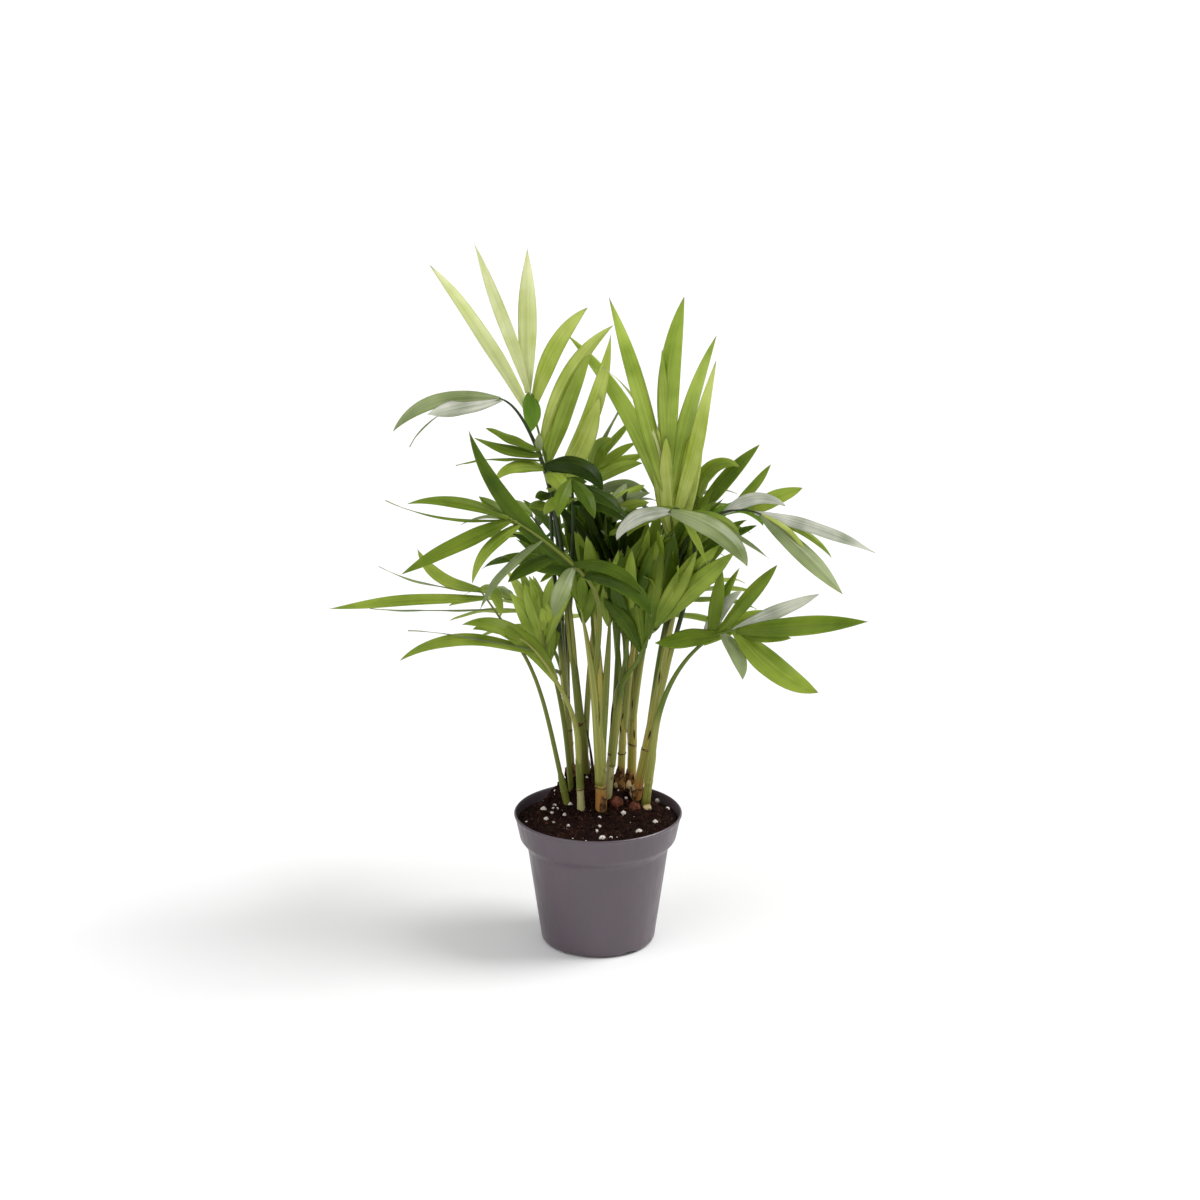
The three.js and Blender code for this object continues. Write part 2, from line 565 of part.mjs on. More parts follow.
// Sections of a leaflet at a list of places: centre, direction, the vector to its right edge and
// the vector out of its upper face
function leafSections(frond, leaflet, root, swing, share, places) {
  const face = heading(...frond.face);
  const [, , , , , twist = 0, widthFactor = 1] = leaflet;
  const line = leafLine(root, face, leaflet, swing, share, LEAF_LINE_STEPS);
  return places.map((place) => {
    const at = place * LEAF_LINE_STEPS;
    const low = Math.min(Math.floor(at), LEAF_LINE_STEPS - 1);
    const centre = line.points[low].clone().lerp(line.points[low + 1], at - low);
    const direction = line.directions[low].clone().lerp(line.directions[low + 1], at - low);
    direction.normalize();
    const across = new THREE.Vector3().crossVectors(face, direction).normalize();
    across.applyAxisAngle(direction, radians(twist));
    const upper = new THREE.Vector3().crossVectors(direction, across);
    const halfWidth = (frond.width / 2) * widthFactor * leafOutline(place);
    return { centre, across: across.multiplyScalar(halfWidth), upper };
  });
}

// A leaflet as a long blade with a flat underside and a ridge along its midrib
function leafSolid(frond, leaflet, root, swing, share) {
  const sections = leafSections(frond, leaflet, root, swing, share, [...LEAF_STATIONS, 1]);
  const ridge = Math.max(LEAF_THICKNESS, LEAF_MIN_THICKNESS_RATIO * leaflet[3] * share);
  const tip = sections.pop().centre;
  const rings = sections.map(({ centre, across, upper }) => {
    const lower = centre.clone().addScaledVector(upper, -ridge / 2);
    return [
      lower.clone().add(across),
      centre.clone().addScaledVector(upper, ridge / 2),
      lower.clone().sub(across),
    ];
  });
  return solidOf(loft(rings, tip));
}

function leafSamples(frond, leaflet, root, swing, share) {
  const count = Math.max(3, Math.ceil((leaflet[3] * share) / SAMPLE_ALONG));
  const places = Array.from({ length: count }, (_, i) => (i + 1) / count);
  return leafSections(frond, leaflet, root, swing, share, places).flatMap(
    ({ centre, across }) => SAMPLE_ACROSS.map((s) => centre.clone().addScaledVector(across, s)),
  );
}

// ---- Keeping leaflets apart ------------------------------------------------------------------

const LIMB_SAMPLE_STEP = 4;
const keepOuts = []; // { owner, point, distance }

function keepClearOfCurve(owner, curve, radiusAt) {
  const count = Math.ceil(curve.getLength() / LIMB_SAMPLE_STEP);
  for (let i = 0; i <= count; i += 1) {
    const distance = radiusAt(i / count) + LIMB_CLEARANCE;
    keepOuts.push({ owner, point: curve.getPoint(i / count), distance });
  }
}

function isClear(owner, samples) {
  const box = new THREE.Box3().setFromPoints(samples);
  return !keepOuts.some((keepOut) => keepOut.owner !== owner
    && box.distanceToPoint(keepOut.point) < keepOut.distance
    && samples.some((point) => point.distanceTo(keepOut.point) < keepOut.distance));
}

// The least swing and shortening at which a leaflet is clear of other fronds, or null
function settle(name, frond, leaflet, root) {
  for (const share of SHORTENINGS) {
    for (const swing of SWINGS) {
      const samples = leafSamples(frond, leaflet, root, swing, share);
      if (isClear(name, samples)) {
        samples.forEach((point) => {
          keepOuts.push({ owner: name, point, distance: LEAF_CLEARANCE });
        });
        return { swing, share };
      }
    }
  }
  return null;
}

function frond(name, sizes, spine) {
  let solid = spineSolid(spine);
  for (const leaflet of sizes.leaflets) {
    const direction = heading(leaflet[1], leaflet[2]);
    const root = spine.rib.getPoint(leaflet[0]).addScaledVector(direction, -LEAF_ROOT_SINK);
    const fit = settle(name, sizes, leaflet, root);
    if (fit) solid = solid.add(leafSolid(sizes, leaflet, root, fit.swing, fit.share));
  }
  return wholeBody(solid);
}

// ---- The whole plant -------------------------------------------------------------------------

const group = new THREE.Group();

function addPiece(name, geometry, color, roughness) {
  const material = new THREE.MeshStandardMaterial({ color, roughness, metalness: 0 });
  const mesh = new THREE.Mesh(geometry, material);
  mesh.name = name;
  group.add(mesh);
}

addPiece('pot', geometryOf(pot()), POT_GREY, 0.5);
addPiece('soil', geometryOf(soil()), PEAT_BROWN, 0.95);

for (const [name, sizes] of Object.entries(CANES)) {
  addPiece(name, cane(sizes), CANE_OLIVE, 0.5);
  const line = caneLine(sizes);
  keepClearOfCurve(name, line, (place) => THREE.MathUtils.lerp(...sizes.radius, place));
}

const spines = {};
for (const [name, sizes] of Object.entries(FRONDS)) {
  spines[name] = frondSpine(sizes);
  keepClearOfCurve(name, spines[name].petiole, () => PETIOLE_RADIUS);
  keepClearOfCurve(name, spines[name].rib, () => KNEE_RADIUS);
}
for (const [name, sizes] of Object.entries(FRONDS)) {
  addPiece(name, geometryOf(frond(name, sizes, spines[name])), sizes.colour, 0.45);
}

export default group;
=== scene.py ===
"""Looks of a potted parlour palm: a moulded nursery pot, peat with perlite, a clump of canes
wrapped in leaf sheaths, and arching fronds of thin veined leaflets. Run as a script in Blender 4.5.

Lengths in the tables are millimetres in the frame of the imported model: the origin is the centre of
the pot's flat underside, +Z is up, the front is -Y. Bearings are degrees round +Z from +X.
Meshes are written in metres.
"""

import math
from typing import NamedTuple

import bmesh
import bpy
import numpy as np
from bpy.props import FloatProperty, FloatVectorProperty, IntProperty, PointerProperty
from bpy.types import Operator, Panel, PropertyGroup
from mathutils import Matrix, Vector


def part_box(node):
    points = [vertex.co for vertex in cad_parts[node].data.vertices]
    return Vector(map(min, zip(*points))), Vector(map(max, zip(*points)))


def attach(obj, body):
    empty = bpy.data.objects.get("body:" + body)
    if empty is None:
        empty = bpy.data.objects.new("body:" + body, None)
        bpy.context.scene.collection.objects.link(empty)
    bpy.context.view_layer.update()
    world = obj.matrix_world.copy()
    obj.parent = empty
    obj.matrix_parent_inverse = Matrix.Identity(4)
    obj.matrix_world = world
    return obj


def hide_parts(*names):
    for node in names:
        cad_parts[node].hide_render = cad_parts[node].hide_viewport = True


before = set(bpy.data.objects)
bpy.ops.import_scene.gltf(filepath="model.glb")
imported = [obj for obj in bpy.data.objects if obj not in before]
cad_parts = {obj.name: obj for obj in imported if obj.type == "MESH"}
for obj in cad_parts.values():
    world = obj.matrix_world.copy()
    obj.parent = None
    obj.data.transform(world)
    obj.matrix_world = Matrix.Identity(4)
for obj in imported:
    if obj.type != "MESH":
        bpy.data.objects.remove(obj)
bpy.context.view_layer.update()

bl_info = {
    "name": "Potted parlour palm",
    "version": (1, 0, 0),
    "blender": (4, 5, 0),
    "location": "View3D > Sidebar > Palm",
    "description": "Builds the pot, peat, canes, sheaths and fronds of a young potted palm",
    "category": "Add Mesh",
}

MM = 0.001
BODY = "root"

# ---- Sizes: pot and soil ---------------------------------------------------------------------

RIM_RADIUS, _, POT_HEIGHT = (float(reach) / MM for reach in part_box("pot")[1])
BAND_RADIUS = 56.0  # bottom edge of the collar under the rim
BAND_LEVEL = 79.5
SHOULDER_LEVEL = 70.5  # where the collar meets the body
LIP_LEVEL = 95.0
BASE_RADIUS = 41.0
BASE_CORNER = 4.5
WALL_SLOPE = 9.2 / 65.0
WALL = 1.2
FLOOR = 1.6
CLEARANCE = 0.3
LIP_INSET = 0.7  # how far the collar's top stays inside the rim
LIP_ROLL = 0.6  # radius of the lip's outer roll
LIP_CROWN = 0.5  # radius of its upper edge
LIP_MIDDLE = 0.9  # how far the roll's centre is over the lip's level, and the crown's inside the rim
BASE_HUB = 0.1  # share of the base that its middle facets span
BASE_POINTS = 6
FLOOR_POINTS = 5
WALL_POINTS = (14, 16, 8)  # along the body, the blend and the collar
POT_SIDES = 192
POT_SHARP_ANGLE = 38

# Arcs of the pot's outline: first and last angle, and points
FOOT_ARC = (-84, -6, 8)
ROLL_ARC = (-60, 50, 6)
CROWN_ARC = (60, 150, 5)

DRAIN_SLOTS = 6
DRAIN_FIRST = 244.0  # bearing of the first slot
DRAIN_WIDE = 15.0
DRAIN_HIGH = 2.7
DRAIN_INNER = 32.5  # radius where a slot begins
DRAIN_PAST = 6  # how far its cutter passes the base
DRAIN_SIDES = 24

SOIL_EDGE_LEVEL = 91.5
SOIL_SLOPE = -0.04
MOUND_CENTRE = (-5.0, 34.0)
MOUND_HEIGHT = 25.0
MOUND_SPREAD = (24.0, 16.0)
MOUND_FADE = (42.0, 54.0)  # radii between which the mound runs out
SOIL_SIDES = 320
SOIL_RINGS = 80
SOIL_HUB = 1.0  # radius of its innermost ring
SOIL_WALL_DROP = 3  # how far under its edge's level the bed's reach is measured
SOIL_WALL_BAND = 5  # width along the wall where the relief calms down
SOIL_WALL_RELIEF = 0.25  # share of it that is left at the wall

# Waves of the crumbly relief, as [length, height]
CRUMBLE = ((14, 1.3), (7, 1.1), (3.4, 0.8), (1.9, 0.45))
CRUMBLE_SINK = 1.5
CRUMBLE_BEARINGS = 7

# Loose grit: sizes of the smaller perlite grains and of the crumbs, and the share of dark crumbs
GRAIN_REACH = 54.0
GRAIN_SIZES = (0.7, 2.2)
CRUMB_REACH = 54.5
CRUMB_SIZES = (0.8, 3.6)
DARK_CRUMBS = 0.82

ROOTLET_REACH = 50.0
ROOTLET_BEND = (-70, 70)
ROOTLET_LENGTH = (3, 11)
ROOTLET_RADIUS = (0.12, 0.26)
ROOTLET_POINTS = 7
ROOTLET_SIDES = 5
ROOTLET_LIFT = 0.5
ROOTLET_ARCH = 1.2

# Larger grains of perlite, as [x, y, size]
PERLITE = [
    (43, 36, 4.7), (50, 16, 5.6), (41, -12, 5.3), (29, -32, 5.3), (18, 2, 4.7), (20, 18, 2.8),
    (1, -4, 3.2), (1, -22, 4.6), (-1, -31, 3.8), (3, -45, 5.9), (9, -44, 3.6), (-33, 4, 3.6),
    (-32, 9, 3.2), (-29, 8, 2.8), (-24, 0, 4.1), (-37, -6, 4.2), (-51, -10, 2.5), (-32, -12, 2.8),
    (-21, -19, 3.2), (-39, 9, 5.3), (-20, 10, 3.8), (48, 3, 2.8), (53, 25, 3.1), (52, -3, 2.5),
    (-5, -42, 2.5), (-19, 33, 7.2), (-8, 26, 3.2), (-31, 12, 3.2),
]

# Old seeds and the pale swollen feet of side shoots, as
# [x, y, height over the soil, radius, height as a share of the width, which of the two]
SEED, SHOOT_FOOT = 0, 1
LUMPS = [
    (13, 12, 0.8, 5.2, 1.0, SEED), (26, 11, 0.6, 4.6, 1.1, SEED),
    (26, 21, 2.5, 3.0, 2.3, SHOOT_FOOT), (22, 28, 1.5, 2.3, 2.0, SHOOT_FOOT),
    (13, 24, 0.5, 1.9, 1.6, SHOOT_FOOT), (35, 13, 0.5, 3.4, 1.2, SHOOT_FOOT),
]
LUMP_RINGS = 14
LUMP_SIDES = 24
LUMP_SWELLS = (0.07, 0.05)  # of its three waves and of its five
LUMP_TURN = 9

# ---- Sizes: canes ----------------------------------------------------------------------------

CANE_FLARE = 1.16
FLARE_END = 0.18
NODE_PLACE = 0.38
NODE_SWELL = 1.1
FOOT_SIDES = 8
NODE_HALF_HEIGHT = 0.018
CANE_SIDES = 40
CANE_STATIONS = 90
CANE_DRIFT = 0.25  # how far a cane's section strays from round
CANE_DRIFT_TURN = 5  # how far that turns along the cane, in radians
CANE_CLOSING = (0.7, 1.0)  # where the cane's radius closes in on its petioles
CANE_CLOSED = 0.5

SCAR_HALF_HEIGHT = 0.9
SCAR_STATIONS = 7
SCAR_SIDES = 32
SCAR_SINK = 0.3
SCAR_BULGE = 0.75
SCAR_TILT = 0.25


class Cane(NamedTuple):
    """A cane: foot (x, y), top (x, y, z), radius at the foot and at the top, colour at the foot and
    on the body, where along it the foot's colour ends, and the places of its leaf-scar rings."""

    foot: tuple
    top: tuple
    radii: tuple
    foot_tone: str
    body_tone: str
    foot_tone_end: float
    scars: tuple = ()


CANES = {
    "cane_1": Cane((-22, 12), (-28, 12, 126), (2.7, 1.9), "olive", "moss", 0.1),
    "cane_2": Cane((-12, 7), (-14, 5, 145), (2.9, 2.4), "cream", "moss", 0.32, (0.33,)),
    "cane_3": Cane((-19, 31), (-24, 34, 182), (3.2, 2.7), "rust", "straw_green", 0.1, (0.52, 0.86)),
    "cane_4": Cane((-9, 32), (-19, 20, 222), (3.2, 2.7), "olive", "moss", 0.2, (0.38,)),
    "cane_5": Cane((2, 6), (1, 0, 188), (3.6, 5.2), "tan", "pale_green", 0.2, (0.2,)),
    "cane_6": Cane((7, 16), (13, 12, 176), (2.6, 2.8), "cream", "pale_green", 0.45, (0.46,)),
    "cane_7": Cane((16, 26), (20, 26, 198), (2.8, 2.9), "tan", "straw_green", 0.16, (0.3, 0.7)),
    "cane_8": Cane((24, 36), (26, 30, 205), (3.0, 3.0), "tan", "straw_green", 0.14, (0.36,)),
    "cane_9": Cane((27, 23), (46.5, 9, 200), (3.4, 3.5), "tan", "straw_green", 0.16, (0.1, 0.4)),
    "cane_10": Cane((34, 16), (40, 7, 150), (3.3, 2.7), "olive", "pale_green", 0.12),
}

# Torn papery sheaths: cane, bearing, first and last height over the foot, turn round it, flare
PAPER_SHEATHS = [
    ("cane_3", 300, 1, 15, 150, 2.2), ("cane_7", 255, 1, 20, 130, 1.4),
    ("cane_8", 235, 0, 22, 120, 2.4), ("cane_9", 200, 0, 12, 130, 1.6),
    ("cane_4", 110, 0, 12, 160, 1.2), ("cane_5", 300, 0, 14, 80, 0.5),
    ("cane_8", 80, 0, 14, 140, 1.6), ("cane_3", 120, 0, 10, 140, 1.2),
]

PAPER_SIDES = 25
PAPER_STATIONS = 10
PAPER_GAP = 0.25
PAPER_THICKNESS = 0.3
TEAR_PITCH = 17  # degrees round the cane that a tear's wave takes for a radian
RUFFLE_PITCH = 11

# Dark slits, painted shade where a sheath has split: cane, place along it, bearing, length, lean
SLITS = [
    ("cane_9", 0.96, 232, 16, -14), ("cane_9", 0.52, 262, 9, 6), ("cane_6", 0.86, 205, 26, 0),
    ("cane_7", 0.62, 262, 13, 24), ("cane_8", 0.66, 262, 13, 2), ("cane_8", 0.44, 292, 9, -4),
    ("cane_7", 0.50, 232, 8, -10), ("cane_3", 0.80, 275, 3, 60), ("cane_4", 0.36, 250, 4, 70),
    ("cane_5", 0.72, 262, 40, 2), ("cane_8", 0.80, 60, 14, 8), ("cane_7", 0.70, 90, 18, -6),
]
SLIT_POINTS = 15
SLIT_SIDES = 8
SLIT_LIFT = 0.05
SLIT_RADIUS = (0.08, 0.5)  # at its ends, and added in its middle

DEAD_SPIKE = [(-3, 22, 108), (-4, 24, 128), (-8, 24, 150)]
SPIKE_RADIUS = (1.6, 0.35)
SPIKE_POINTS = 16
SPIKE_SIDES = 10

# ---- Sizes: fronds ---------------------------------------------------------------------------

PETIOLE_RADIUS = 2.0
PETIOLE_ALONE = 0.75  # a petiole's radius as a share of its cane's, where it is the only one
PETIOLE_SHARED = 0.38  # and where the cane carries more
PETIOLE_RISE = 0.38  # share of the way to the knee that it keeps to the cane's axis
KNEE_EASE = 0.3  # share of that way over which it turns into the rib
KNEE_RADIUS = 1.5
LEAF_ROOT_SINK = 0.6
DROOP_POWER = 1.6
LEAF_LINE_STEPS = 24

# Distances that leaflets keep from other fronds' leaflets and limbs, and where that is sampled
LEAF_CLEARANCE = 3.4
LIMB_CLEARANCE = 2.2
LIMB_SAMPLE_STEP = 4.0
CURVE_DIVISIONS = 200
SAMPLE_ALONG = 3.2
SAMPLE_ACROSS = np.array([-1, -0.5, 0, 0.5, 1])

# What is tried until a leaflet is clear: swings out of its frond's plane, and shares of its length
SWINGS = (0, 0.08, -0.08, 0.16, -0.16, 0.25, -0.25, 0.36, -0.36, 0.5, -0.5)
SHORTENINGS = (1, 0.85, 0.7, 0.55)

FEATHER_PLACES = (0.2, 0.5, 0.75, 1)
FEATHER_OPENING = (74, 55, 36, 14)
FEATHER_SHARE = (0.84, 1, 1, 0.92)
FEATHER_DROOP = 42


def feather(bearing, rise, longest):
    """Pairs of leaflets that open wide at the frond's foot and close towards its tip."""
    rows = []
    for place, opening, share in zip(FEATHER_PLACES, FEATHER_OPENING, FEATHER_SHARE):
        for side in (1, -1):
            rows.append((place, bearing + side * opening, rise, longest * share, FEATHER_DROOP))
    return rows


class Frond(NamedTuple):
    """A frond: cane, bearing of its seat, knee, rib's tip and arch, bearing and rise of its upper
    face, width of its leaflets, age, tone of its petiole, tones of its leaflets, and leaflets as
    (place along the rib, bearing, rise, length, droop, twist, width factor)."""

    cane: str
    seat: float
    knee: tuple
    tip: tuple
    arch: float
    face: tuple
    width: float
    age: str
    tone: str
    leaf_tones: str
    leaflets: list


FRONDS = {
    "frond_top_left": Frond(
        "cane_4", 190, (-30, 27, 320), (-48, 18, 399), 1, (270, 15), 9.5, "young", "leaf_green",
        "pppyyylyvlg", [
            (0.7, 172, 61.5, 133, 14, 25, 1.15), (0.97, 204, 71.5, 117, 5, -28, 1.05),
            (1, 92, 86, 100, 0, 30, 1.55), (0.85, 340, 77, 86, 42, -25, 1.4),
            (0.5, 350, 73, 103, 34, 25, 1.2), (0.1, 345, 61, 121, -22, -25, 1.4),
            (0.3, 350, 72, 94, 8, 28, 1.35), (0.02, 340, 59, 84, -20, -20, 1.55),
            (0.98, 300, -76, 27, 8, 0, 1.3),
            (0.4, 60, 50, 66, 20, 0, 1.2), (0.02, 15, 48, 88, -52, 50, 0.8),
        ],
    ),
    "frond_top_right": Frond(
        "cane_8", 310, (54.5, 12, 279), (46, 14, 357), 0, (270, 12), 10, "young", "leaf_green",
        "llplllyyyyl", [
            (0.55, 190, 76, 153, 6, 28, 1.45), (0.35, 165, 71, 152, 28, -28, 1.4),
            (0.6, 185, 82, 108, 48, 60, 0.5), (0.6, 190, 87, 106, 0, 0, 0.8),
            (0.75, 0, 93, 131, 20, -28, 1.65), (0.45, 15, 83, 129, 20, 28, 1.35),
            (0.3, 345, 76, 126, 0, -25, 1.2),
            (0.25, 200, 86, 72, 0, 20, 1.5), (0.15, 10, 80, 96, 2, -20, 1.6),
            (0.1, 170, 82, 90, 4, 0, 1.5), (0.6, 95, 50, 80, 24, 0, 1.1),
        ],
    ),
    "frond_high_left": Frond(
        "cane_3", 300, (-43, 0, 366), (-67, -14, 402), 7, (275, 40), 11, "deep", "dark_green",
        "gsg", [
            (1, 190, 11, 82, 70), (0.97, 200, -3, 53, 14, 0, 1.1), (0.9, 186, -2, 76, 62, 60, 0.35),
        ],
    ),
    "frond_front_left": Frond(
        "cane_5", 200, (-10, -44, 286), (-60, -72, 334), 3, (275, 35), 10, "mid", "moss",
        "dnnnnmgdgddd", [
            (0.05, 208, 40, 138, -34, 0, 1.3), (1, 190, 27, 71, 44, 0, 0.85),
            (0.9, 165, 32, 31, 0, 0, 0.9),
            (0.95, 168, -5, 90, -27, 70, 0.6), (0.96, 198, -18, 84, 12, 0, 1.15),
            (0.85, 207, -26, 54, 48, 0, 0.85), (0.55, 200, -30, 66, 40, 20, 0.7),
            (0.05, 170, 12, 54, 8, 0, 1.3), (0.12, 240, -24, 42, 66, 0, 1.2),
            (0, 335, 4, 62, 72, 0, 1.3), (0.15, 345, 6, 56, 66, 0, 0.9), (0.3, 190, -14, 42, 30),
        ],
    ),
    "frond_front_right": Frond(
        "cane_9", 330, (65, -10, 305), (48, -44, 330), 9, (270, 50), 11, "deep", "dark_green",
        "sgmnn", [
            (0.95, 190, 6, 46, 88, 0, 1.15), (0.95, 340, -6, 69, 68, 0, 1.45),
            (0.6, 320, -50, 44, 10, 40, 0.5), (0.6, 200, 4, 44, 70), (0.4, 345, 6, 44, 60),
        ],
    ),
    "frond_low_left": Frond(
        "cane_2", 200, (-29.5, -8, 198), (-54, -24, 234), 4, (275, 35), 10, "mid", "pale_green",
        "mmgm", [
            (0, 190, 63, 88, 80, 0, 1.35), (0.5, 182, 21, 102, 60, 0, 0.9),
            (0.6, 178, 13, 90, 12, 65, 0.35), (0.9, 160, 28, 40, 60, 0, 0.8),
        ],
    ),
    "frond_lowest_left": Frond(
        "cane_1", 200, (-54, -4, 219.5), (-82, -20, 268.5), 1, (275, 35), 10, "mid", "moss",
        "mgmmg", [
            (0.85, 185, 1, 110, 9, 0, 0.85), (0.95, 165, 1, 77, -22, 60, 0.45),
            (1, 160, 4, 56, -58, 0, 0.9), (1, 300, 30, 42, 140, 0, 0.8),
            (0.65, 180, -2, 87, -6, 60, 0.4),
        ],
    ),
    "frond_low_right": Frond(
        "cane_10", 0, (71, -10, 224), (96, -22, 239), 3, (268, 40), 11, "mid", "leaf_green",
        "nsmnnsnngmn", [
            (1, 350, 9, 93, 4, 0, 1.35), (0.9, 15, 21, 67, 6, 0, 0.95),
            (0.1, 5, 38, 61, 48, 0, 1.1), (0.5, 190, -4, 46, 0, 0, 1.25),
            (0.45, 340, 53, 71, 2, 0, 0.9), (0.1, 20, 68, 48, 44, 0, 0.9),
            (0.3, 30, 80, 51, 0, 0, 0.9), (0.05, 45, 56, 62, 12, 0, 0.75),
            (0.6, 320, -35, 38, 58, 0, 0.95), (0.97, 340, -42, 73, -24, 0, 1.65),
            (0.95, 355, -6, 40, 4, 0, 0.8),
        ],
    ),
    "frond_right": Frond(
        "cane_9", 150, (72, -4, 311), (112, -20, 322), 6, (265, 45), 9, "deep", "dark_green",
        "mssgymvng", [
            (0.8, 20, 24, 42, 12, 0, 1.3), (0.35, 340, 40, 50, 74, 0, 1.1),
            (0.9, 345, -9, 88, 14, 0, 1.1), (1, 330, -34, 80, 6, 0, 1.45),
            (1, 335, -18, 48, 56, 30, 0.4), (0.95, 0, -15, 62, 46, 0, 0.7), (0.1, 350, 42, 48, 120),
            (0.5, 40, 36, 46, 2, 0, 0.8), (0.1, 335, -22, 52, 10, 50, 0.4),
        ],
    ),
    "frond_upper_right": Frond(
        "cane_8", 40, (67, 25, 285), (70, 28, 322), 1, (270, 25), 10, "mid", "leaf_green",
        "mnnmnn", [
            (0.95, 350, 86, 47, 124, 0, 1.1), (0.6, 15, 49, 68, 4, 0, 1.1), (0.3, 340, 44, 36, 20),
            (0.4, 160, 58, 46, 30), (1, 80, 18, 52, 20), (0.6, 90, 30, 52, 30),
        ],
    ),
    "frond_inner_left": Frond(
        "cane_4", 320, (-33, -2, 335), (-40, -10, 365), 1, (275, 45), 10, "mid", "dark_green",
        "nnnmkmg", [
            (1, 165, 20, 41, 4, 10, 0.75), (0.85, 175, 10, 48, -8, 0, 0.85),
            (0.7, 180, 6, 61, 24, 40, 0.5), (0.5, 195, 22, 40, 84, 0, 1.1),
            (0.55, 350, 16, 52, 100, 0, 1.5), (0.4, 300, 10, 30, 80, 0, 1.3),
            (1, 100, 70, 12, 0, 0, 0.6),
        ],
    ),
    "frond_middle_right": Frond(
        "cane_6", 0, (29.5, -6, 216), (40, -4, 238), 1, (270, 20), 11, "deep", "leaf_green",
        "mdnmndn", [
            (1, 342, 48, 82, 6, 0, 1.4), (0.8, 340, 79, 74, 4, 0, 1.8),
            (0.5, 330, 82, 70, 2, 0, 1.1), (0.9, 330, 62, 70, 6, 0, 1.2),
            (0.2, 170, 82, 76, 2, 0, 1.6), (0.1, 200, 64, 52, 20), (0.5, 90, 50, 60, 20),
        ],
    ),
    "frond_low_young": Frond(
        "cane_3", 225, (-36, 3, 208), (-39, 1, 232), 1, (270, 20), 9, "young", "moss",
        "lllll", [
            (0.1, 170, 68, 55, 18, 0, 1.3), (0.4, 180, 77, 51, 10, 0, 1.3),
            (0.8, 150, 84, 43, 4, 0, 1.2), (1, 20, 80, 40, 6), (0.5, 355, 70, 58, 10),
        ],
    ),
    "frond_centre": Frond(
        "cane_5", 80, (-4, 24, 233), (-6, 32, 267), 2, (270, 20), 14, "deep", "leaf_green",
        "kkdddn", [
            (0.7, 160, 79, 62, 10, 0, 1.5), (0.9, 0, 79, 58, 10, 0, 1.5), (0.2, 185, 68, 52, 20),
            (0.4, 160, 74, 58, 10), (1, 180, 86, 50, 10), (0.6, 340, 66, 62, 10),
        ],
    ),
    "frond_inner_front": Frond(
        "cane_4", 80, (-17, 4, 311), (-18, -30, 350), 5, (275, 60), 11, "deep", "dark_green",
        "mnkkd", [
            (0.4, 215, 10, 28, 80), (1, 250, -14, 36, 60),
            (0.3, 340, 10, 46, 70), (0.7, 335, 0, 44, 65), (1, 300, -10, 40, 60),
        ],
    ),
    "frond_back_top": Frond(
        "cane_7", 250, (0, 45, 300), (-4, 54, 336), 1, (270, 35), 9, "mid", "leaf_green",
        "mmmmglmnmg", [
            (1, 20, 50, 46, 4, 0, 0.65), (0.95, 20, 30, 38, 6, 0, 0.8),
            (0.85, 10, 24, 40, 10, 0, 1.1),
            (0.9, 330, 86, 34, 70, 0, 1.3), (1, 350, 66, 54, 0, 60, 0.5), (0.7, 345, 40, 40, 40),
            (0.4, 160, 36, 34, 30), (0.3, 320, 10, 46, 40), (0.8, 90, 30, 50, 30),
            (0.5, 335, 30, 44, 60),
        ],
    ),
    "frond_back_left": Frond(
        "cane_3", 45, (-27, 60, 259), (-49, 98, 289), 4, (100, 50), 11, "deep", "dark_green",
        "dnmdndmn", feather(120, 10, 66),
    ),
    "frond_back": Frond(
        "cane_7", 70, (5, 66, 261), (10, 112, 297), 4, (90, 50), 11, "deep", "leaf_green",
        "nmdnmdnm", feather(90, 10, 66),
    ),
    "frond_back_right": Frond(
        "cane_8", 220, (36, 55, 268), (62, 96, 301), 4, (80, 50), 11, "deep", "leaf_green",
        "mndnmndn", feather(58, 10, 64),
    ),
    "frond_back_low_left": Frond(
        "cane_3", 135, (-38, 70, 206), (-63, 108, 222), 5, (120, 50), 11, "mid", "leaf_green",
        "mlmnmlmm", feather(123, 8, 60),
    ),
    "frond_back_low_right": Frond(
        "cane_8", 130, (44, 64, 216), (72, 106, 232), 5, (60, 50), 11, "mid", "leaf_green",
        "lmmnmmlm", feather(57, 8, 60),
    ),
}


class InnerFrond(NamedTuple):
    """A slender frond in the heart of the crown: controls of its stalk, radius at its foot, its
    tone, its rib's tip, bearing and rise of its leaflets, bearing that their upper faces turn to,
    their greatest length, their width and their tones."""

    stalk: list
    radius: float
    tone: str
    tip: tuple
    bearing: float
    rise: float
    face: float
    longest: float
    width: float
    leaf_tones: str


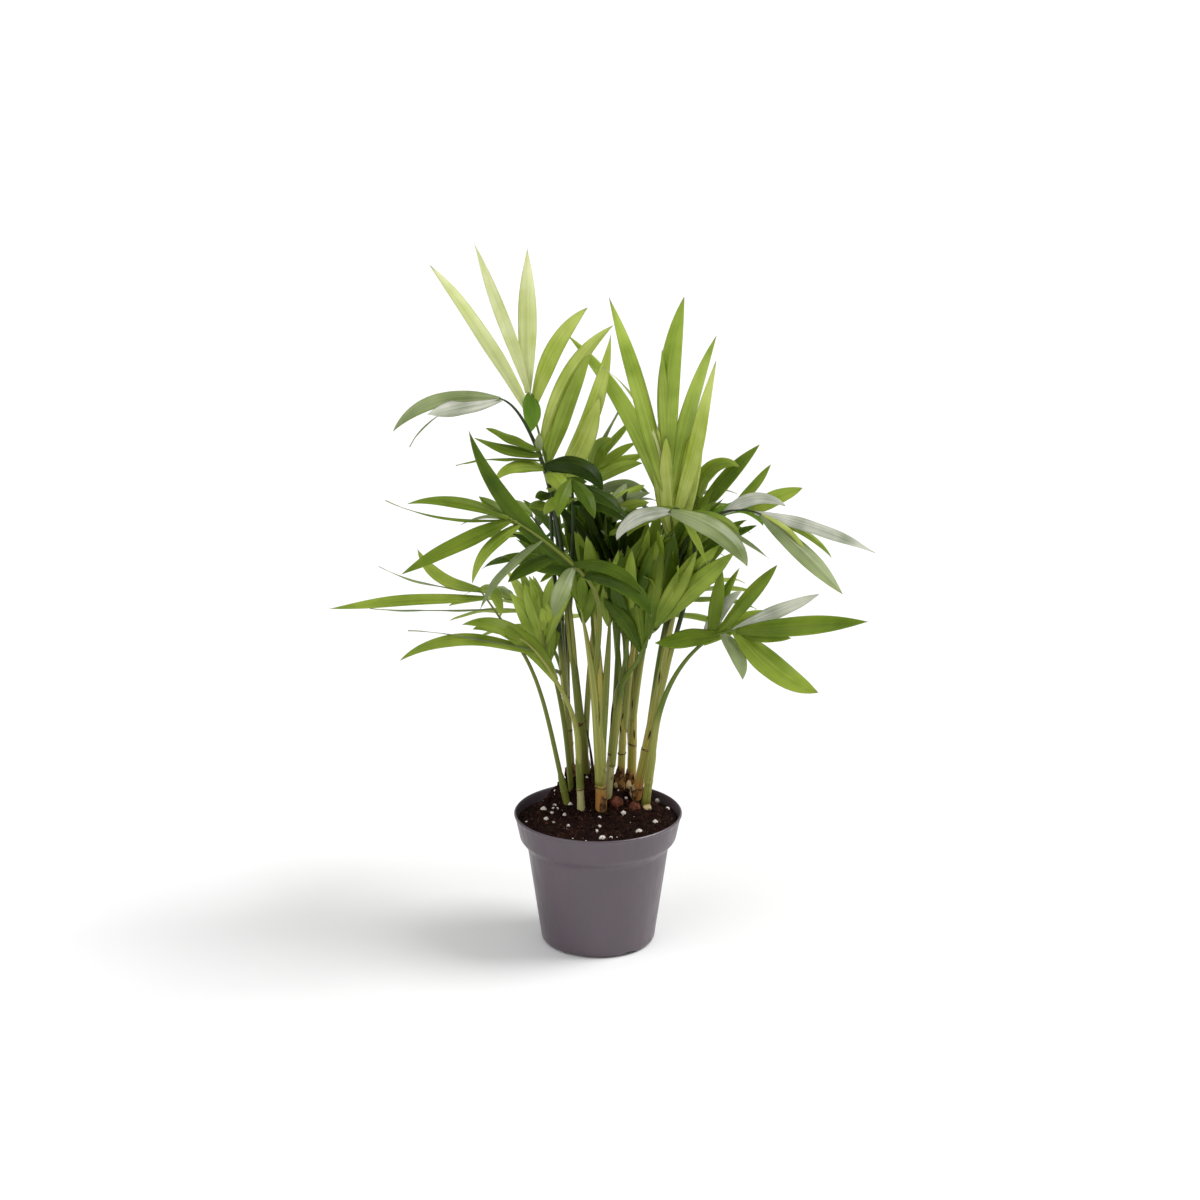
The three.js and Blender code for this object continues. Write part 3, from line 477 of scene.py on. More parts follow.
INNER_FRONDS = [
    InnerFrond([(1.5, 4, 116), (0, -2, 175), (-5, -6, 215), (-10, -7, 240)], 3.7, "pale_green",
               (-13, -8, 256), 200, 72, 260, 44, 9, "ndnm"),
    InnerFrond([(2, 3.5, 126), (3, -2, 180), (1, -4, 215), (-2, -5, 242)], 3.5, "straw_green",
               (-3, -6, 258), 180, 78, 270, 50, 9, "mndn"),
    InnerFrond([(2, 2.5, 140), (5, -2, 186), (7, -6, 212), (8, -8, 238)], 3.4, "moss",
               (9, -9, 254), 340, 76, 300, 54, 10, "nmnd"),
    InnerFrond([(10, 14, 126), (15, 10, 178), (19, 4, 206), (21, 0, 226)], 2.5, "leaf_green",
               (24, -2, 244), 350, 74, 260, 70, 10, "ndnm"),
    InnerFrond([(18.5, 26, 148), (22, 22, 198), (26, 16, 222), (30, 12, 240)], 2.6, "straw_green",
               (34, 10, 258), 10, 70, 290, 76, 10, "nmnd"),
    InnerFrond([(25, 32.5, 154), (30, 26, 208), (36, 20, 234), (42, 16, 254)], 2.7, "leaf_green",
               (47, 14, 272), 5, 60, 250, 72, 10, "mnnd"),
    InnerFrond([(38, 15, 150), (47, 7, 208), (50, 4, 236), (56, 0, 252)], 3.0, "pale_green",
               (60, -2, 266), 10, 58, 300, 60, 9, "nmdn"),
    InnerFrond([(-20.5, 32, 128), (-25, 31, 200), (-32, 22, 262), (-33, 10, 320)], 2.3, "dark_green",
               (-30, 6, 338), 310, 10, 270, 26, 8, "dmnd"),
    InnerFrond([(-9.5, 31, 118), (-8, 30, 190), (-2, 32, 230), (0, 32, 258)], 2.3, "straw_green",
               (2, 34, 282), 270, 66, 230, 62, 10, "kkdk"),
    InnerFrond([(8.7, 15, 116), (13, 13, 176), (14, 20, 220), (16, 26, 248)], 2.2, "leaf_green",
               (18, 28, 272), 280, 68, 310, 62, 10, "dkdk"),
    InnerFrond([(18, 25.5, 148), (14, 26, 220), (8, 26, 266), (6, 22, 296)], 2.3, "leaf_green",
               (8, 18, 318), 10, 30, 270, 42, 8, "gmlg"),
    InnerFrond([(32, 19.5, 118), (40, 16, 180), (44, 18, 222), (52, 20, 250)], 2.2, "leaf_green",
               (60, 22, 274), 340, 44, 250, 58, 9, "nmdn"),
    InnerFrond([(-19, 22, 96), (-22, 20, 160), (-30, 16, 190), (-34, 14, 206)], 2.0, "moss",
               (-38, 14, 224), 180, 68, 270, 56, 9, "lmly"),
    InnerFrond([(-20, 31.5, 122), (-24, 34, 180), (-22, 44, 220), (-18, 56, 250)], 2.3, "moss",
               (-14, 64, 272), 100, 40, 90, 62, 10, "dnkm"),
    InnerFrond([(24, 35, 120), (22, 38, 180), (20, 48, 214), (18, 60, 240)], 2.3, "moss",
               (18, 68, 262), 70, 42, 80, 62, 10, "nkdm"),
]
INNER_FACE_RISE = 35
INNER_PLACES = (0, 0.4, 0.8, 1)
INNER_OPENING = (95, 75, 50, 14)
INNER_DROOP = 20
INNER_KNEE_RADIUS = 1.05
INNER_KNEE_RISE = 2
INNER_RIB_TAPER = 0.6
INNER_STALK_STATIONS = 44
INNER_RIB_STATIONS = 12

# Random draws of an inner leaflet: its turn and its lift in degrees, and share of its length
INNER_TURNS = (-12, 12)
INNER_LIFTS = (-6, 8)
INNER_SHARES = (0.7, 1.05)

# The fine blade: its mesh, thickness, and the heights of its pleats, ripple, curl and midrib
LEAF_STATIONS = 40
LEAF_ACROSS = 13
LEAF_THICKNESS = 0.5
PLEAT_HEIGHT = 0.14
RIPPLE_HEIGHT = 0.6
CURL_HEIGHT = 0.35
MIDRIB_HEIGHT = 0.3
MIDRIB_HALF_WIDTH = 0.6

# Random draws of a blade: place of its widest part, bluntness, sideways sway and its half-waves,
# waves of its ripple, how far its fold and its curl depart from the usual
BLADE_PEAKS = (0.4, 0.54)
BLADE_POWERS = (1.9, 2.5)
BLADE_SWAYS = (-1.6, 1.6)
BLADE_BENDS = (1.0, 1.8)
BLADE_WAVES = (1.0, 2.4)
BLADE_FOLDS = (0.6, 1.5)
BLADE_CURLS = (-0.6, 1.2)

PETIOLE_SIDES = 20
SHEATH_STATIONS = 14
PETIOLE_STATIONS = 34
RIB_STATIONS = 16
FOOT_SHARE = 0.3  # share of a stalk over which its foot's tone shows
CHANNEL_DEPTH = 0.16
CHANNEL_WIDTH = 0.55
STALK_RADIUS = 1.35
RIB_TIP_RADIUS = 0.55
SHEATH_FROM = 0.5  # place along the cane where a petiole's sheath starts to stand out

# Radius of a petiole at the cane's top, and of its sheath inside the cane, as shares of the cane's
SHARED_BASE, LONE_BASE = 0.56, 0.98
SHARED_HIDDEN, LONE_HIDDEN = 0.62, 0.9

# Seeds of the random draws
SOIL_SEED = 11
GRIT_SEED = 5
LUMP_SEED = 3
CANE_SEED = 21
PAPER_SEED = 8
INNER_SEED = 40


# ---- Colours ---------------------------------------------------------------------------------


def srgb(red, green, blue):
    """A colour of 0 to 255 as linear light."""
    value = np.array([red, green, blue]) / 255
    return tuple(np.where(value <= 0.04045, value / 12.92, ((value + 0.055) / 1.055) ** 2.4))


# Leaf tones dealt out by leaflet: darker and lighter colour of the blade
LEAF_TONES = {
    "p": (srgb(182, 190, 112), srgb(220, 224, 174)),
    "y": (srgb(146, 162, 48), srgb(196, 206, 114)),
    "l": (srgb(116, 138, 30), srgb(166, 184, 76)),
    "m": (srgb(96, 118, 22), srgb(146, 162, 60)),
    "n": (srgb(72, 94, 12), srgb(114, 132, 38)),
    "d": (srgb(44, 66, 4), srgb(78, 98, 18)),
    # The near-black "k", for leaflets deep in the crown: their dark green with painted shade
    "k": (srgb(26, 42, 2), srgb(50, 68, 10)),
    # The greyish "g" and the silvery "s" paint the sheen that a glossy blade reflects from the
    # bright room
    "g": (srgb(90, 106, 50), srgb(150, 160, 112)),
    "s": (srgb(112, 120, 96), srgb(212, 212, 200)),
    "v": (srgb(76, 112, 12), srgb(108, 144, 32)),
}

# How glossy a tone's blades are, where they aren't as glossy as the rest
LEAF_SHEEN = {"k": 0.12, "d": 0.12, "n": 0.15, "m": 0.2, "g": 0.4, "s": 0.5}
PLAIN_SHEEN = 0.28
DRY_TIP = srgb(128, 122, 92)

PEAT_RED = srgb(74, 40, 30)

# Matt fibrous stuff: darker and lighter colour, roughness, and the scale and depth of its grain
FIBRES = {
    "perlite": (srgb(196, 186, 176), srgb(240, 236, 230), 0.75, 900.0, 0.0003),
    "crumb_dark": (srgb(18, 9, 6), srgb(42, 23, 17), 0.92, 700.0, 0.0003),
    "crumb_red": (srgb(50, 27, 20), srgb(84, 50, 38), 0.9, 700.0, 0.0003),
    "rootlet": (srgb(56, 31, 22), srgb(98, 62, 44), 0.8, 500.0, 0.0003),
    "seed_husk": (srgb(66, 34, 26), srgb(128, 72, 50), 0.6, 260.0, 0.0006),
    "shoot_foot": (srgb(150, 122, 80), srgb(206, 190, 142), 0.6, 260.0, 0.0005),
    "leaf_scar": (srgb(70, 52, 30), srgb(132, 112, 66), 0.7, 400.0, 0.0003),
    "papery_sheath": (srgb(64, 40, 24), srgb(150, 112, 66), 0.7, 240.0, 0.0003),
    # Dark strands that paint the shade inside a split sheath, and the dead spike's own dark brown
    "slit": (srgb(30, 18, 12), srgb(66, 42, 26), 0.8, 500.0, 0.0003),
}

# Tones of canes and petioles, and what darkens the streaks between their fibres
STREAK_COLOUR = (0.02, 0.03, 0.01)
STREAK_SHADE = 0.36
FOOT_TONE_FADE = 0.14  # place along the stem over which the foot's tone runs out
STEM_TONES = {
    "olive": srgb(116, 112, 44), "moss": srgb(116, 124, 42), "cream": srgb(200, 194, 136),
    "rust": srgb(100, 58, 32), "straw_green": srgb(176, 166, 78), "tan": srgb(188, 132, 68),
    "pale_green": srgb(158, 160, 76), "leaf_green": srgb(98, 118, 30),
    # A dark petiole's own colour, with painted shade from the leaves that hang over it
    "dark_green": srgb(42, 58, 16),
}


# ---- Settings --------------------------------------------------------------------------------


def colour_setting(name, description, default):
    """A colour that a user can set."""
    return FloatVectorProperty(
        name=name, description=description, default=default, min=0, max=1, subtype="COLOR",
    )


def share_setting(name, description, default):
    """A share from 0 to 1 that a user can set."""
    return FloatProperty(
        name=name, description=description, default=default, min=0, max=1, subtype="FACTOR",
    )


def strength_setting(name, description, default):
    """A strength of light that a user can set."""
    return FloatProperty(name=name, description=description, default=default, min=0)


def count_setting(name, description, default, least=0):
    """A whole number that a user can set."""
    return IntProperty(name=name, description=description, default=default, min=least)


class PalmPot(PropertyGroup):
    """Plastic of the pot"""

    colour: colour_setting("Pot colour", "Plastic of the pot", srgb(77, 65, 74))
    roughness: share_setting("Roughness", "Roughness of the plastic", 0.36)


class PalmSoil(PropertyGroup):
    """Peat and what is scattered on it"""

    colour: colour_setting("Peat colour", "Colour of the moist peat", srgb(32, 15, 11))
    crumbs: count_setting("Crumbs", "Loose crumbs of peat on the surface", 1500)
    grains: count_setting("Perlite grains", "Small grains scattered besides the larger ones", 50)
    fibres: count_setting("Fibres", "Fine rootlets and bark fibres", 260)


class PalmCanes(PropertyGroup):
    """Relief of the canes"""

    ridges: count_setting("Ridges", "Fine lengthwise ridges round a cane", 14)
    ridge_height: FloatProperty(
        name="Ridge height", description="Height of the lengthwise ridges", default=0.09 * MM,
        min=0, unit="LENGTH", precision=5,
    )


class PalmFronds(PropertyGroup):
    """Form and translucence of the leaflets"""

    fold: share_setting("Fold", "Slope of a leaflet's halves away from its midrib", 0.34)
    veins: count_setting("Veins", "Lengthwise veins in each half of a leaflet", 7, least=1)
    glow: share_setting("Glow", "Share of light that passes through a leaflet", 0.22)


class PalmStage(PropertyGroup):
    """Camera and light"""

    lens: FloatProperty(
        name="Lens", description="Focal length of the camera", default=90, min=1,
        subtype="DISTANCE_CAMERA",
    )
    pitch: FloatProperty(
        name="Pitch", description="How far the camera looks down", default=math.radians(17),
        subtype="ANGLE",
    )
    sky: strength_setting("Sky", "Strength of the even light from all round", 0.52)
    key_strength: strength_setting("Key light", "Strength of the key light", 2.25)


# ---- Working with points ---------------------------------------------------------------------


def heading(bearing, rise):
    """Unit vectors of a bearing b round +Z and a rise r: (cos r cos b, cos r sin b, sin r)."""
    b, r = np.radians(bearing), np.radians(rise)
    parts = (np.cos(r) * np.cos(b), np.cos(r) * np.sin(b), np.sin(r))
    return np.stack(np.broadcast_arrays(*parts), -1)


def unit(vectors):
    """Vectors divided by their lengths."""
    return vectors / np.maximum(np.linalg.norm(vectors, axis=-1, keepdims=True), 1e-9)


def smooth(low, high, value):
    """Smoothstep: 0 under low, 1 over high, and 3t^2 - 2t^3 between."""
    t = np.clip((value - low) / (high - low), 0, 1)
    return t * t * (3 - 2 * t)


def bezier(controls, t):
    """Points and directions of a Bezier curve: the controls weighted by Bernstein polynomials."""
    controls = np.asarray(controls, float)
    t = np.atleast_1d(t)[:, None]

    def weighted(points):
        order = len(points) - 1
        return sum(
            math.comb(order, i) * t**i * (1 - t) ** (order - i) * point
            for i, point in enumerate(points)
        )

    return weighted(controls), unit(weighted(np.diff(controls, axis=0)))


def curve_length(controls):
    """Length of a Bezier curve as the sum of its short chords."""
    points, _ = bezier(controls, np.linspace(0, 1, CURVE_DIVISIONS + 1))
    return np.linalg.norm(np.diff(points, axis=0), axis=1).sum()


def carried(reference, directions):
    """A reference direction carried along a path without twist: at each station the part of the
    last one that lies square to the path."""
    carried_on = np.empty_like(directions)
    last = np.asarray(reference, float)
    for i, direction in enumerate(directions):
        last = unit(last - (last @ direction) * direction)
        carried_on[i] = last
    return carried_on


def full_turn(sides):
    """Even angles round a circle."""
    return np.linspace(0, 2 * math.pi, sides, endpoint=False)


def tube(centres, directions, reference, radii, sides, section=None):
    """Rings round a path: centre + radius * section(angle) * (cos * reference + sin * third axis).
    The reference is carried along without twist."""
    directions = np.broadcast_to(directions, centres.shape)
    first = carried(reference, directions)
    third = np.cross(directions, first)
    angle = full_turn(sides)
    share = np.ones(sides) if section is None else section(angle)
    radii = np.asarray(radii, float)
    if radii.ndim == 1:
        radii = radii[:, None]
    reach = radii * share
    return (
        centres[:, None]
        + (reach * np.cos(angle))[..., None] * first[:, None]
        + (reach * np.sin(angle))[..., None] * third[:, None]
    )


def strand(line, reference, radii, sides):
    """A tube along a line of points, whose directions are the line's own differences."""
    return tube(line, unit(np.gradient(line, axis=0)), reference, radii, sides)


def round_uv(stations, sides):
    """UV of a tube: u runs from 0 to 1 and back round it, v from 0 to 1 along it."""
    u = 1 - np.abs(np.linspace(-1, 1, sides, endpoint=False))
    v = np.linspace(0, 1, stations)
    return np.stack(np.meshgrid(u, v), -1)


def plane_waves(x, y, wavelength, count, random):
    """Sum of sine waves of one length, of random bearings and phases, within about -1 to 1."""
    total = np.zeros_like(x)
    for _ in range(count):
        bearing, phase = random.uniform(0, 2 * math.pi, 2)
        along = x * math.cos(bearing) + y * math.sin(bearing)
        total += np.sin(2 * math.pi * along / wavelength + phase)
    return total / math.sqrt(count)


class Skin:
    """Gathers closed surfaces and writes them as one mesh."""

    def __init__(self):
        self.points = []
        self.uvs = []
        self.faces = []
        self.tones = []
        self.under = []
        self.count = 0

    def add(self, points, uvs, groups, tone=0):
        """Points with a UV each, and groups of faces, all of one tone. A group is faces with the
        same number of corners, and for each face 1 on an underside and 0 elsewhere."""
        for faces, under in groups:
            self.faces.append(faces + self.count)
            self.tones.append(np.full(len(faces), tone))
            self.under.append(under)
        self.points.append(points)
        self.uvs.append(uvs)
        self.count += len(points)

    def add_loft(self, rings, tone=0, uvs=None, under_from=None):
        """A skin over rings, closed by a pole in the middle of the first and of the last one.
        Rings are wound anticlockwise about the way of travel, so that faces point outwards.
        Faces from the side under_from on count as an underside."""
        count, sides = rings.shape[:2]
        if uvs is None:
            uvs = round_uv(count, sides)
        ring, side = np.meshgrid(np.arange(count - 1), np.arange(sides), indexing="ij")
        low = ring * sides
        after = (side + 1) % sides
        quads = np.stack([low + side, low + after, low + sides + after, low + sides + side], -1)
        around = np.arange(sides)
        onward = (around + 1) % sides
        last = (count - 1) * sides
        start, end = count * sides, count * sides + 1
        first_cap = np.stack([onward, around, np.full(sides, start)], -1)
        last_cap = np.stack([last + around, last + onward, np.full(sides, end)], -1)
        poles = np.stack([rings[0].mean(0), rings[-1].mean(0)])
        pole_uvs = np.stack([uvs[0].mean(0), uvs[-1].mean(0)])
        points = np.concatenate([rings.reshape(-1, 3), poles])
        flat_uvs = np.concatenate([uvs.reshape(-1, 2), pole_uvs])
        under = np.zeros(sides) if under_from is None else (around >= under_from).astype(float)
        walls = quads.reshape(-1, 4), np.tile(under, count - 1)
        self.add(points, flat_uvs, (walls, (first_cap, under), (last_cap, under)), tone)
        return self

    def write(self, name, materials):
        """The mesh object, in metres, with its UV map, tone of each face and smooth shading."""
        points = np.concatenate(self.points) * MM
        uvs = np.concatenate(self.uvs)
        corners = np.concatenate([faces.ravel() for faces in self.faces])
        sizes = np.concatenate([np.full(len(faces), faces.shape[1]) for faces in self.faces])
        mesh = bpy.data.meshes.new(name)
        mesh.vertices.add(len(points))
        mesh.vertices.foreach_set("co", points.astype(np.float32).ravel())
        mesh.loops.add(len(corners))
        mesh.loops.foreach_set("vertex_index", corners.astype(np.int32))
        mesh.polygons.add(len(sizes))
        starts = np.concatenate([[0], np.cumsum(sizes)[:-1]])
        mesh.polygons.foreach_set("loop_start", starts.astype(np.int32))
        mesh.polygons.foreach_set("material_index", np.concatenate(self.tones).astype(np.int32))
        layer = mesh.uv_layers.new(name="Grain")
        layer.uv.foreach_set("vector", uvs[corners].astype(np.float32).ravel())
        under = mesh.attributes.new("underside", "FLOAT", "FACE")
        under.data.foreach_set("value", np.concatenate(self.under).astype(np.float32))
        mesh.update(calc_edges=True)
        mesh.validate()
        mesh.shade_smooth()
        for material in materials:
            mesh.materials.append(material)
        piece = bpy.data.objects.new(name, mesh)
        bpy.context.scene.collection.objects.link(piece)
        return piece

    def settle(self, name, materials, slot, *nodes):
        """Writes the mesh as a finished piece that stands for its nodes."""
        settle_piece(self.write(name, materials), slot, *nodes)


def settle_piece(piece, slot, *nodes):
    """A finished piece rides on the plant's one body and stands for its nodes; its slot is not used.
    """
    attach(piece, BODY)
    if nodes:
        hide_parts(*nodes)


# ---- Materials -------------------------------------------------------------------------------


class Surface:
    """A node material under construction, with short words for the nodes that it uses."""

    def __init__(self, name, roughness, specular=0.5):
        self.material = bpy.data.materials.new(name)
        self.material.use_nodes = True
        self.tree = self.material.node_tree
        self.shader = self.tree.nodes["Principled BSDF"]
        self.shader.inputs["Roughness"].default_value = roughness
        self.shader.inputs["Specular IOR Level"].default_value = specular
        self.object_place = self.node("ShaderNodeTexCoord").outputs["Object"]

    def node(self, kind, **settings):
        """A new node with its settings."""
        made = self.tree.nodes.new(kind)
        for key, value in settings.items():
            setattr(made, key, value)
        return made

    def put(self, value, socket):
        """Links a socket, or sets a plain value."""
        if isinstance(value, bpy.types.NodeSocket):
            self.tree.links.new(value, socket)
        elif value is not None:
            socket.default_value = (*value, 1) if isinstance(value, tuple) else value

    def maths(self, operation, a, b=None):
        """Result of an operation on sockets or numbers."""
        made = self.node("ShaderNodeMath", operation=operation)
        self.put(a, made.inputs[0])
        self.put(b, made.inputs[1])
        return made.outputs[0]

    def grain(self):
        """Across and along of the piece's own UV map."""
        place = self.node("ShaderNodeUVMap", uv_map="Grain").outputs[0]
        parts = self.node("ShaderNodeSeparateXYZ")
        self.put(place, parts.inputs[0])
        return place, parts.outputs[0], parts.outputs[1]

    def noise(self, place, scale, detail=3.0, stretch=None):
        """Noise of a scale in cycles per metre, or per UV width, stretched along an axis."""
        if stretch is not None:
            mapping = self.node("ShaderNodeMapping")
            self.put(place, mapping.inputs["Vector"])
            mapping.inputs["Scale"].default_value = stretch
            place = mapping.outputs[0]
        made = self.node("ShaderNodeTexNoise")
        self.put(place, made.inputs["Vector"])
        made.inputs["Scale"].default_value = scale
        made.inputs["Detail"].default_value = detail
        return made.outputs["Fac"]

    def span(self, value, low, high, to_low=0.0, to_high=1.0):
        """A value mapped from one range to another, smoothly and within its ends."""
        made = self.node("ShaderNodeMapRange", interpolation_type="SMOOTHSTEP")
        self.put(value, made.inputs["Value"])
        ends = {"From Min": low, "From Max": high, "To Min": to_low, "To Max": to_high}
        for key, end in ends.items():
            made.inputs[key].default_value = end
        return made.outputs[0]

    def total(self, *terms):
        """Sum of sockets, each times its factor."""
        result = None
        for value, factor in terms:
            term = value if factor == 1 else self.maths("MULTIPLY", value, factor)
            result = term if result is None else self.maths("ADD", result, term)
        return result

    def mix(self, share, first, second):
        """From the first colour to the second one, by a share."""
        made = self.node("ShaderNodeMix", data_type="RGBA")
        self.put(share, made.inputs["Factor"])
        self.put(first, made.inputs[6])
        self.put(second, made.inputs[7])
        return made.outputs[2]

    def glow(self, weight, radius, depth):
        """Light that travels below the surface: its share, its reach by colour and its depth."""
        for key, value in (("Weight", weight), ("Radius", radius), ("Scale", depth)):
            self.shader.inputs["Subsurface " + key].default_value = value

    def finish(self, colour, roughness=None, height=None, depth=0.0, strength=1.0):
        """The material with its colour, its roughness and a relief of a depth in metres."""
        self.put(colour, self.shader.inputs["Base Color"])
        self.put(roughness, self.shader.inputs["Roughness"])
        if height is not None:
            relief = self.node("ShaderNodeBump")
            relief.inputs["Distance"].default_value = depth
            relief.inputs["Strength"].default_value = strength
            self.put(height, relief.inputs["Height"])
            self.put(relief.outputs[0], self.shader.inputs["Normal"])
        return self.material


def shaded(colour, factor):
    """A colour made lighter or darker."""
    return tuple(min(1.0, channel * factor) for channel in colour)


def leaf_material(tone, settings):
    """A thin satin blade: lengthwise veins, a slightly paler midrib and underside, a dry tip,
    patches of shade over the crown and soft glow."""
    # In the tones "g" and "s" these colours are greyed to paint a sheen reflected from the bright
    # room
    dark, light = LEAF_TONES[tone]
    # In the tone "k" these colours are a dark green with painted shade deep in the crown
    made = Surface("leaf_" + tone, 0.38, LEAF_SHEEN.get(tone, PLAIN_SHEEN))
    place, across, along = made.grain()
    from_midrib = made.maths("ABSOLUTE", made.maths("SUBTRACT", across, 0.5))
    veins = made.maths("SINE", made.maths("MULTIPLY", from_midrib, 4 * math.pi * settings.veins))
    streaks = made.noise(place, 1.0, 4.0, (22, 1.1, 1))
    patches = made.noise(made.object_place, 38.0, 2.0)
    under = made.node("ShaderNodeAttribute", attribute_name="underside").outputs["Fac"]
    shade = made.total((streaks, 0.5), (patches, 0.7), (veins, 0.025), (along, 0.12))
    colour = made.mix(made.span(shade, 0.42, 0.88), dark, light)
    colour = made.mix(made.span(from_midrib, 0.0, 0.04, 0.16, 0.0), colour, shaded(light, 1.15))
    colour = made.mix(made.total((under, 0.3)), colour, shaded(light, 1.05))
    colour = made.mix(made.span(along, 0.95, 1.0, 0.0, 0.8), colour, DRY_TIP)
    roughness = made.total((made.span(streaks, 0.3, 0.7, 0.3, 0.42), 1), (under, 0.12))
    made.glow(settings.glow, (0.7, 1.0, 0.25), 0.0012)
    return made.finish(colour, roughness, made.total((veins, 0.3), (streaks, 1)), 0.00012, 0.6)


def stem_material(name, foot, body, foot_share):
    """Fibrous sheath: lengthwise streaks, brown flecks, and the foot's colour that runs up into
    the body's."""
    made = Surface(name, 0.45, 0.28)
    place, _, along = made.grain()
    streaks = made.noise(place, 1.0, 5.0, (22, 0.7, 1))
    flecks = made.noise(made.object_place, 420.0, 2.0, (1, 1, 0.25))
    edge = made.total((along, 1), (streaks, 0.12))
    colour = made.mix(made.span(edge, foot_share, foot_share + FOOT_TONE_FADE), foot, body)
    darker = made.mix(STREAK_SHADE, colour, STREAK_COLOUR)
    colour = made.mix(made.span(streaks, 0.38, 0.62), darker, colour)
    rust = shaded(STEM_TONES["rust"], 0.7)
    colour = made.mix(made.span(flecks, 0.66, 0.74, 0.0, 0.5), colour, rust)
    made.glow(0.08, (1.0, 1.0, 0.4), 0.001)
    return made.finish(colour, made.span(streaks, 0.3, 0.7, 0.36, 0.5), streaks, 0.0002, 0.7)


def fibre_material(name):
    """Matt rough stuff, mottled between two colours, with a grain."""
    dark, light, roughness, scale, depth = FIBRES[name]
    made = Surface(name, roughness, 0.15)
    mottle = made.noise(made.object_place, scale, 5.0)
    colour = made.mix(made.span(mottle, 0.35, 0.68), dark, light)
    rough = made.span(mottle, 0.3, 0.7, roughness - 0.08, min(1.0, roughness + 0.08))
    return made.finish(colour, rough, mottle, depth)


def peat_material(settings):
    """Moist dark peat, near black in its hollows as painted shade, red-brown on its crumbs."""
    colour = tuple(settings.colour)
    made = Surface("peat", 0.9, 0.08)
    fine = made.noise(made.object_place, 900.0, 6.0)
    wide = made.noise(made.object_place, 110.0, 3.0)
    # Darkest where the fine grain is low, which is also where the relief has its hollows: painted
    # shade
    base = made.mix(made.span(fine, 0.35, 0.7), shaded(colour, 0.35), shaded(colour, 1.5))
    reddish = made.mix(made.span(wide, 0.5, 0.75, 0.0, 0.4), base, PEAT_RED)
    return made.finish(reddish, made.span(fine, 0.3, 0.7, 0.75, 0.98), fine, 0.0008)


def plastic_material(settings):
    """Satin moulded plastic with a faint grain, scuffs and flow marks."""
    colour, roughness = tuple(settings.colour), settings.roughness
    made = Surface("pot_plastic", roughness, 0.75)
    flow = made.noise(made.object_place, 38.0, 3.0, (1, 1, 0.3))
    scuffs = made.noise(made.object_place, 260.0, 4.0, (1, 1, 0.2))
    grain = made.noise(made.object_place, 2600.0, 2.0)
    base = made.mix(made.span(flow, 0.3, 0.7), shaded(colour, 0.93), shaded(colour, 1.06))
    scuffed = made.mix(made.span(scuffs, 0.6, 0.75, 0.0, 0.22), base, shaded(colour, 1.35))
    rough = made.span(scuffs, 0.35, 0.7, roughness - 0.04, roughness + 0.1)
    return made.finish(scuffed, rough, grain, 0.00006)


# ---- Pot -------------------------------------------------------------------------------------


def pot_outline():
    """Outer wall as radius against height: the body's slope, blended by a smoothstep into the
    collar's slope between the shoulder and the collar's edge."""
    ends = (BASE_CORNER, SHOULDER_LEVEL, BAND_LEVEL, LIP_LEVEL)
    parts = [np.linspace(*span) for span in zip(ends, ends[1:], WALL_POINTS)]
    level = np.concatenate([parts[0], *(part[1:] for part in parts[1:])])
    body = BASE_RADIUS + (level - BASE_CORNER) * WALL_SLOPE
    collar_slope = (RIM_RADIUS - LIP_INSET - BAND_RADIUS) / (LIP_LEVEL - BAND_LEVEL)
    collar = BAND_RADIUS + (level - BAND_LEVEL) * collar_slope
    return np.stack([body + (collar - body) * smooth(SHOULDER_LEVEL, BAND_LEVEL, level), level], -1)


def arc(centre, radius, first, last, count):
    """Points of an arc from one angle to another, in degrees."""
    angle = np.radians(np.linspace(first, last, count))
    return np.stack([centre[0] + radius * np.cos(angle), centre[1] + radius * np.sin(angle)], -1)


def lathe(profile, sides):
    """A profile of radius and height turned round the Z axis: (r cos a, r sin a, z)."""
    angle = full_turn(sides)
    radius, level = profile[:, :1], profile[:, 1:]
    x, y = radius * np.cos(angle), radius * np.sin(angle)
    return np.stack([x, y, np.broadcast_to(level, x.shape)], -1)


def cut_away(piece, cutters):
    """Cuts the cutters out of a piece, applies the cut and removes them."""
    for cutter in cutters:
        cut = piece.modifiers.new("cut", "BOOLEAN")
        cut.operation = "DIFFERENCE"
        cut.solver = "EXACT"
        cut.object = cutter
    bpy.context.view_layer.update()
    graph = bpy.context.evaluated_depsgraph_get()
    finished = bpy.data.meshes.new_from_object(piece.evaluated_get(graph))
    piece.modifiers.clear()
    piece.data = finished
    for cutter in cutters:
        bpy.data.objects.remove(cutter)


def drain_cutter(bearing):
    """A flat elliptic bar that lies along a radius under the pot's corner."""
    reach = np.linspace(DRAIN_INNER, BASE_RADIUS + DRAIN_PAST, 3)
    angle = full_turn(DRAIN_SIDES)
    ring = np.stack([DRAIN_WIDE / 2 * np.cos(angle), DRAIN_HIGH * np.sin(angle)], -1)
    out, left = heading(bearing, 0), heading(bearing + 90, 0)
    rings = reach[:, None, None] * out + ring[None, :, :1] * left
    rings = rings + ring[None, :, 1:] * np.array([0, 0, 1])
    return Skin().add_loft(rings).write("drain_cutter", [])


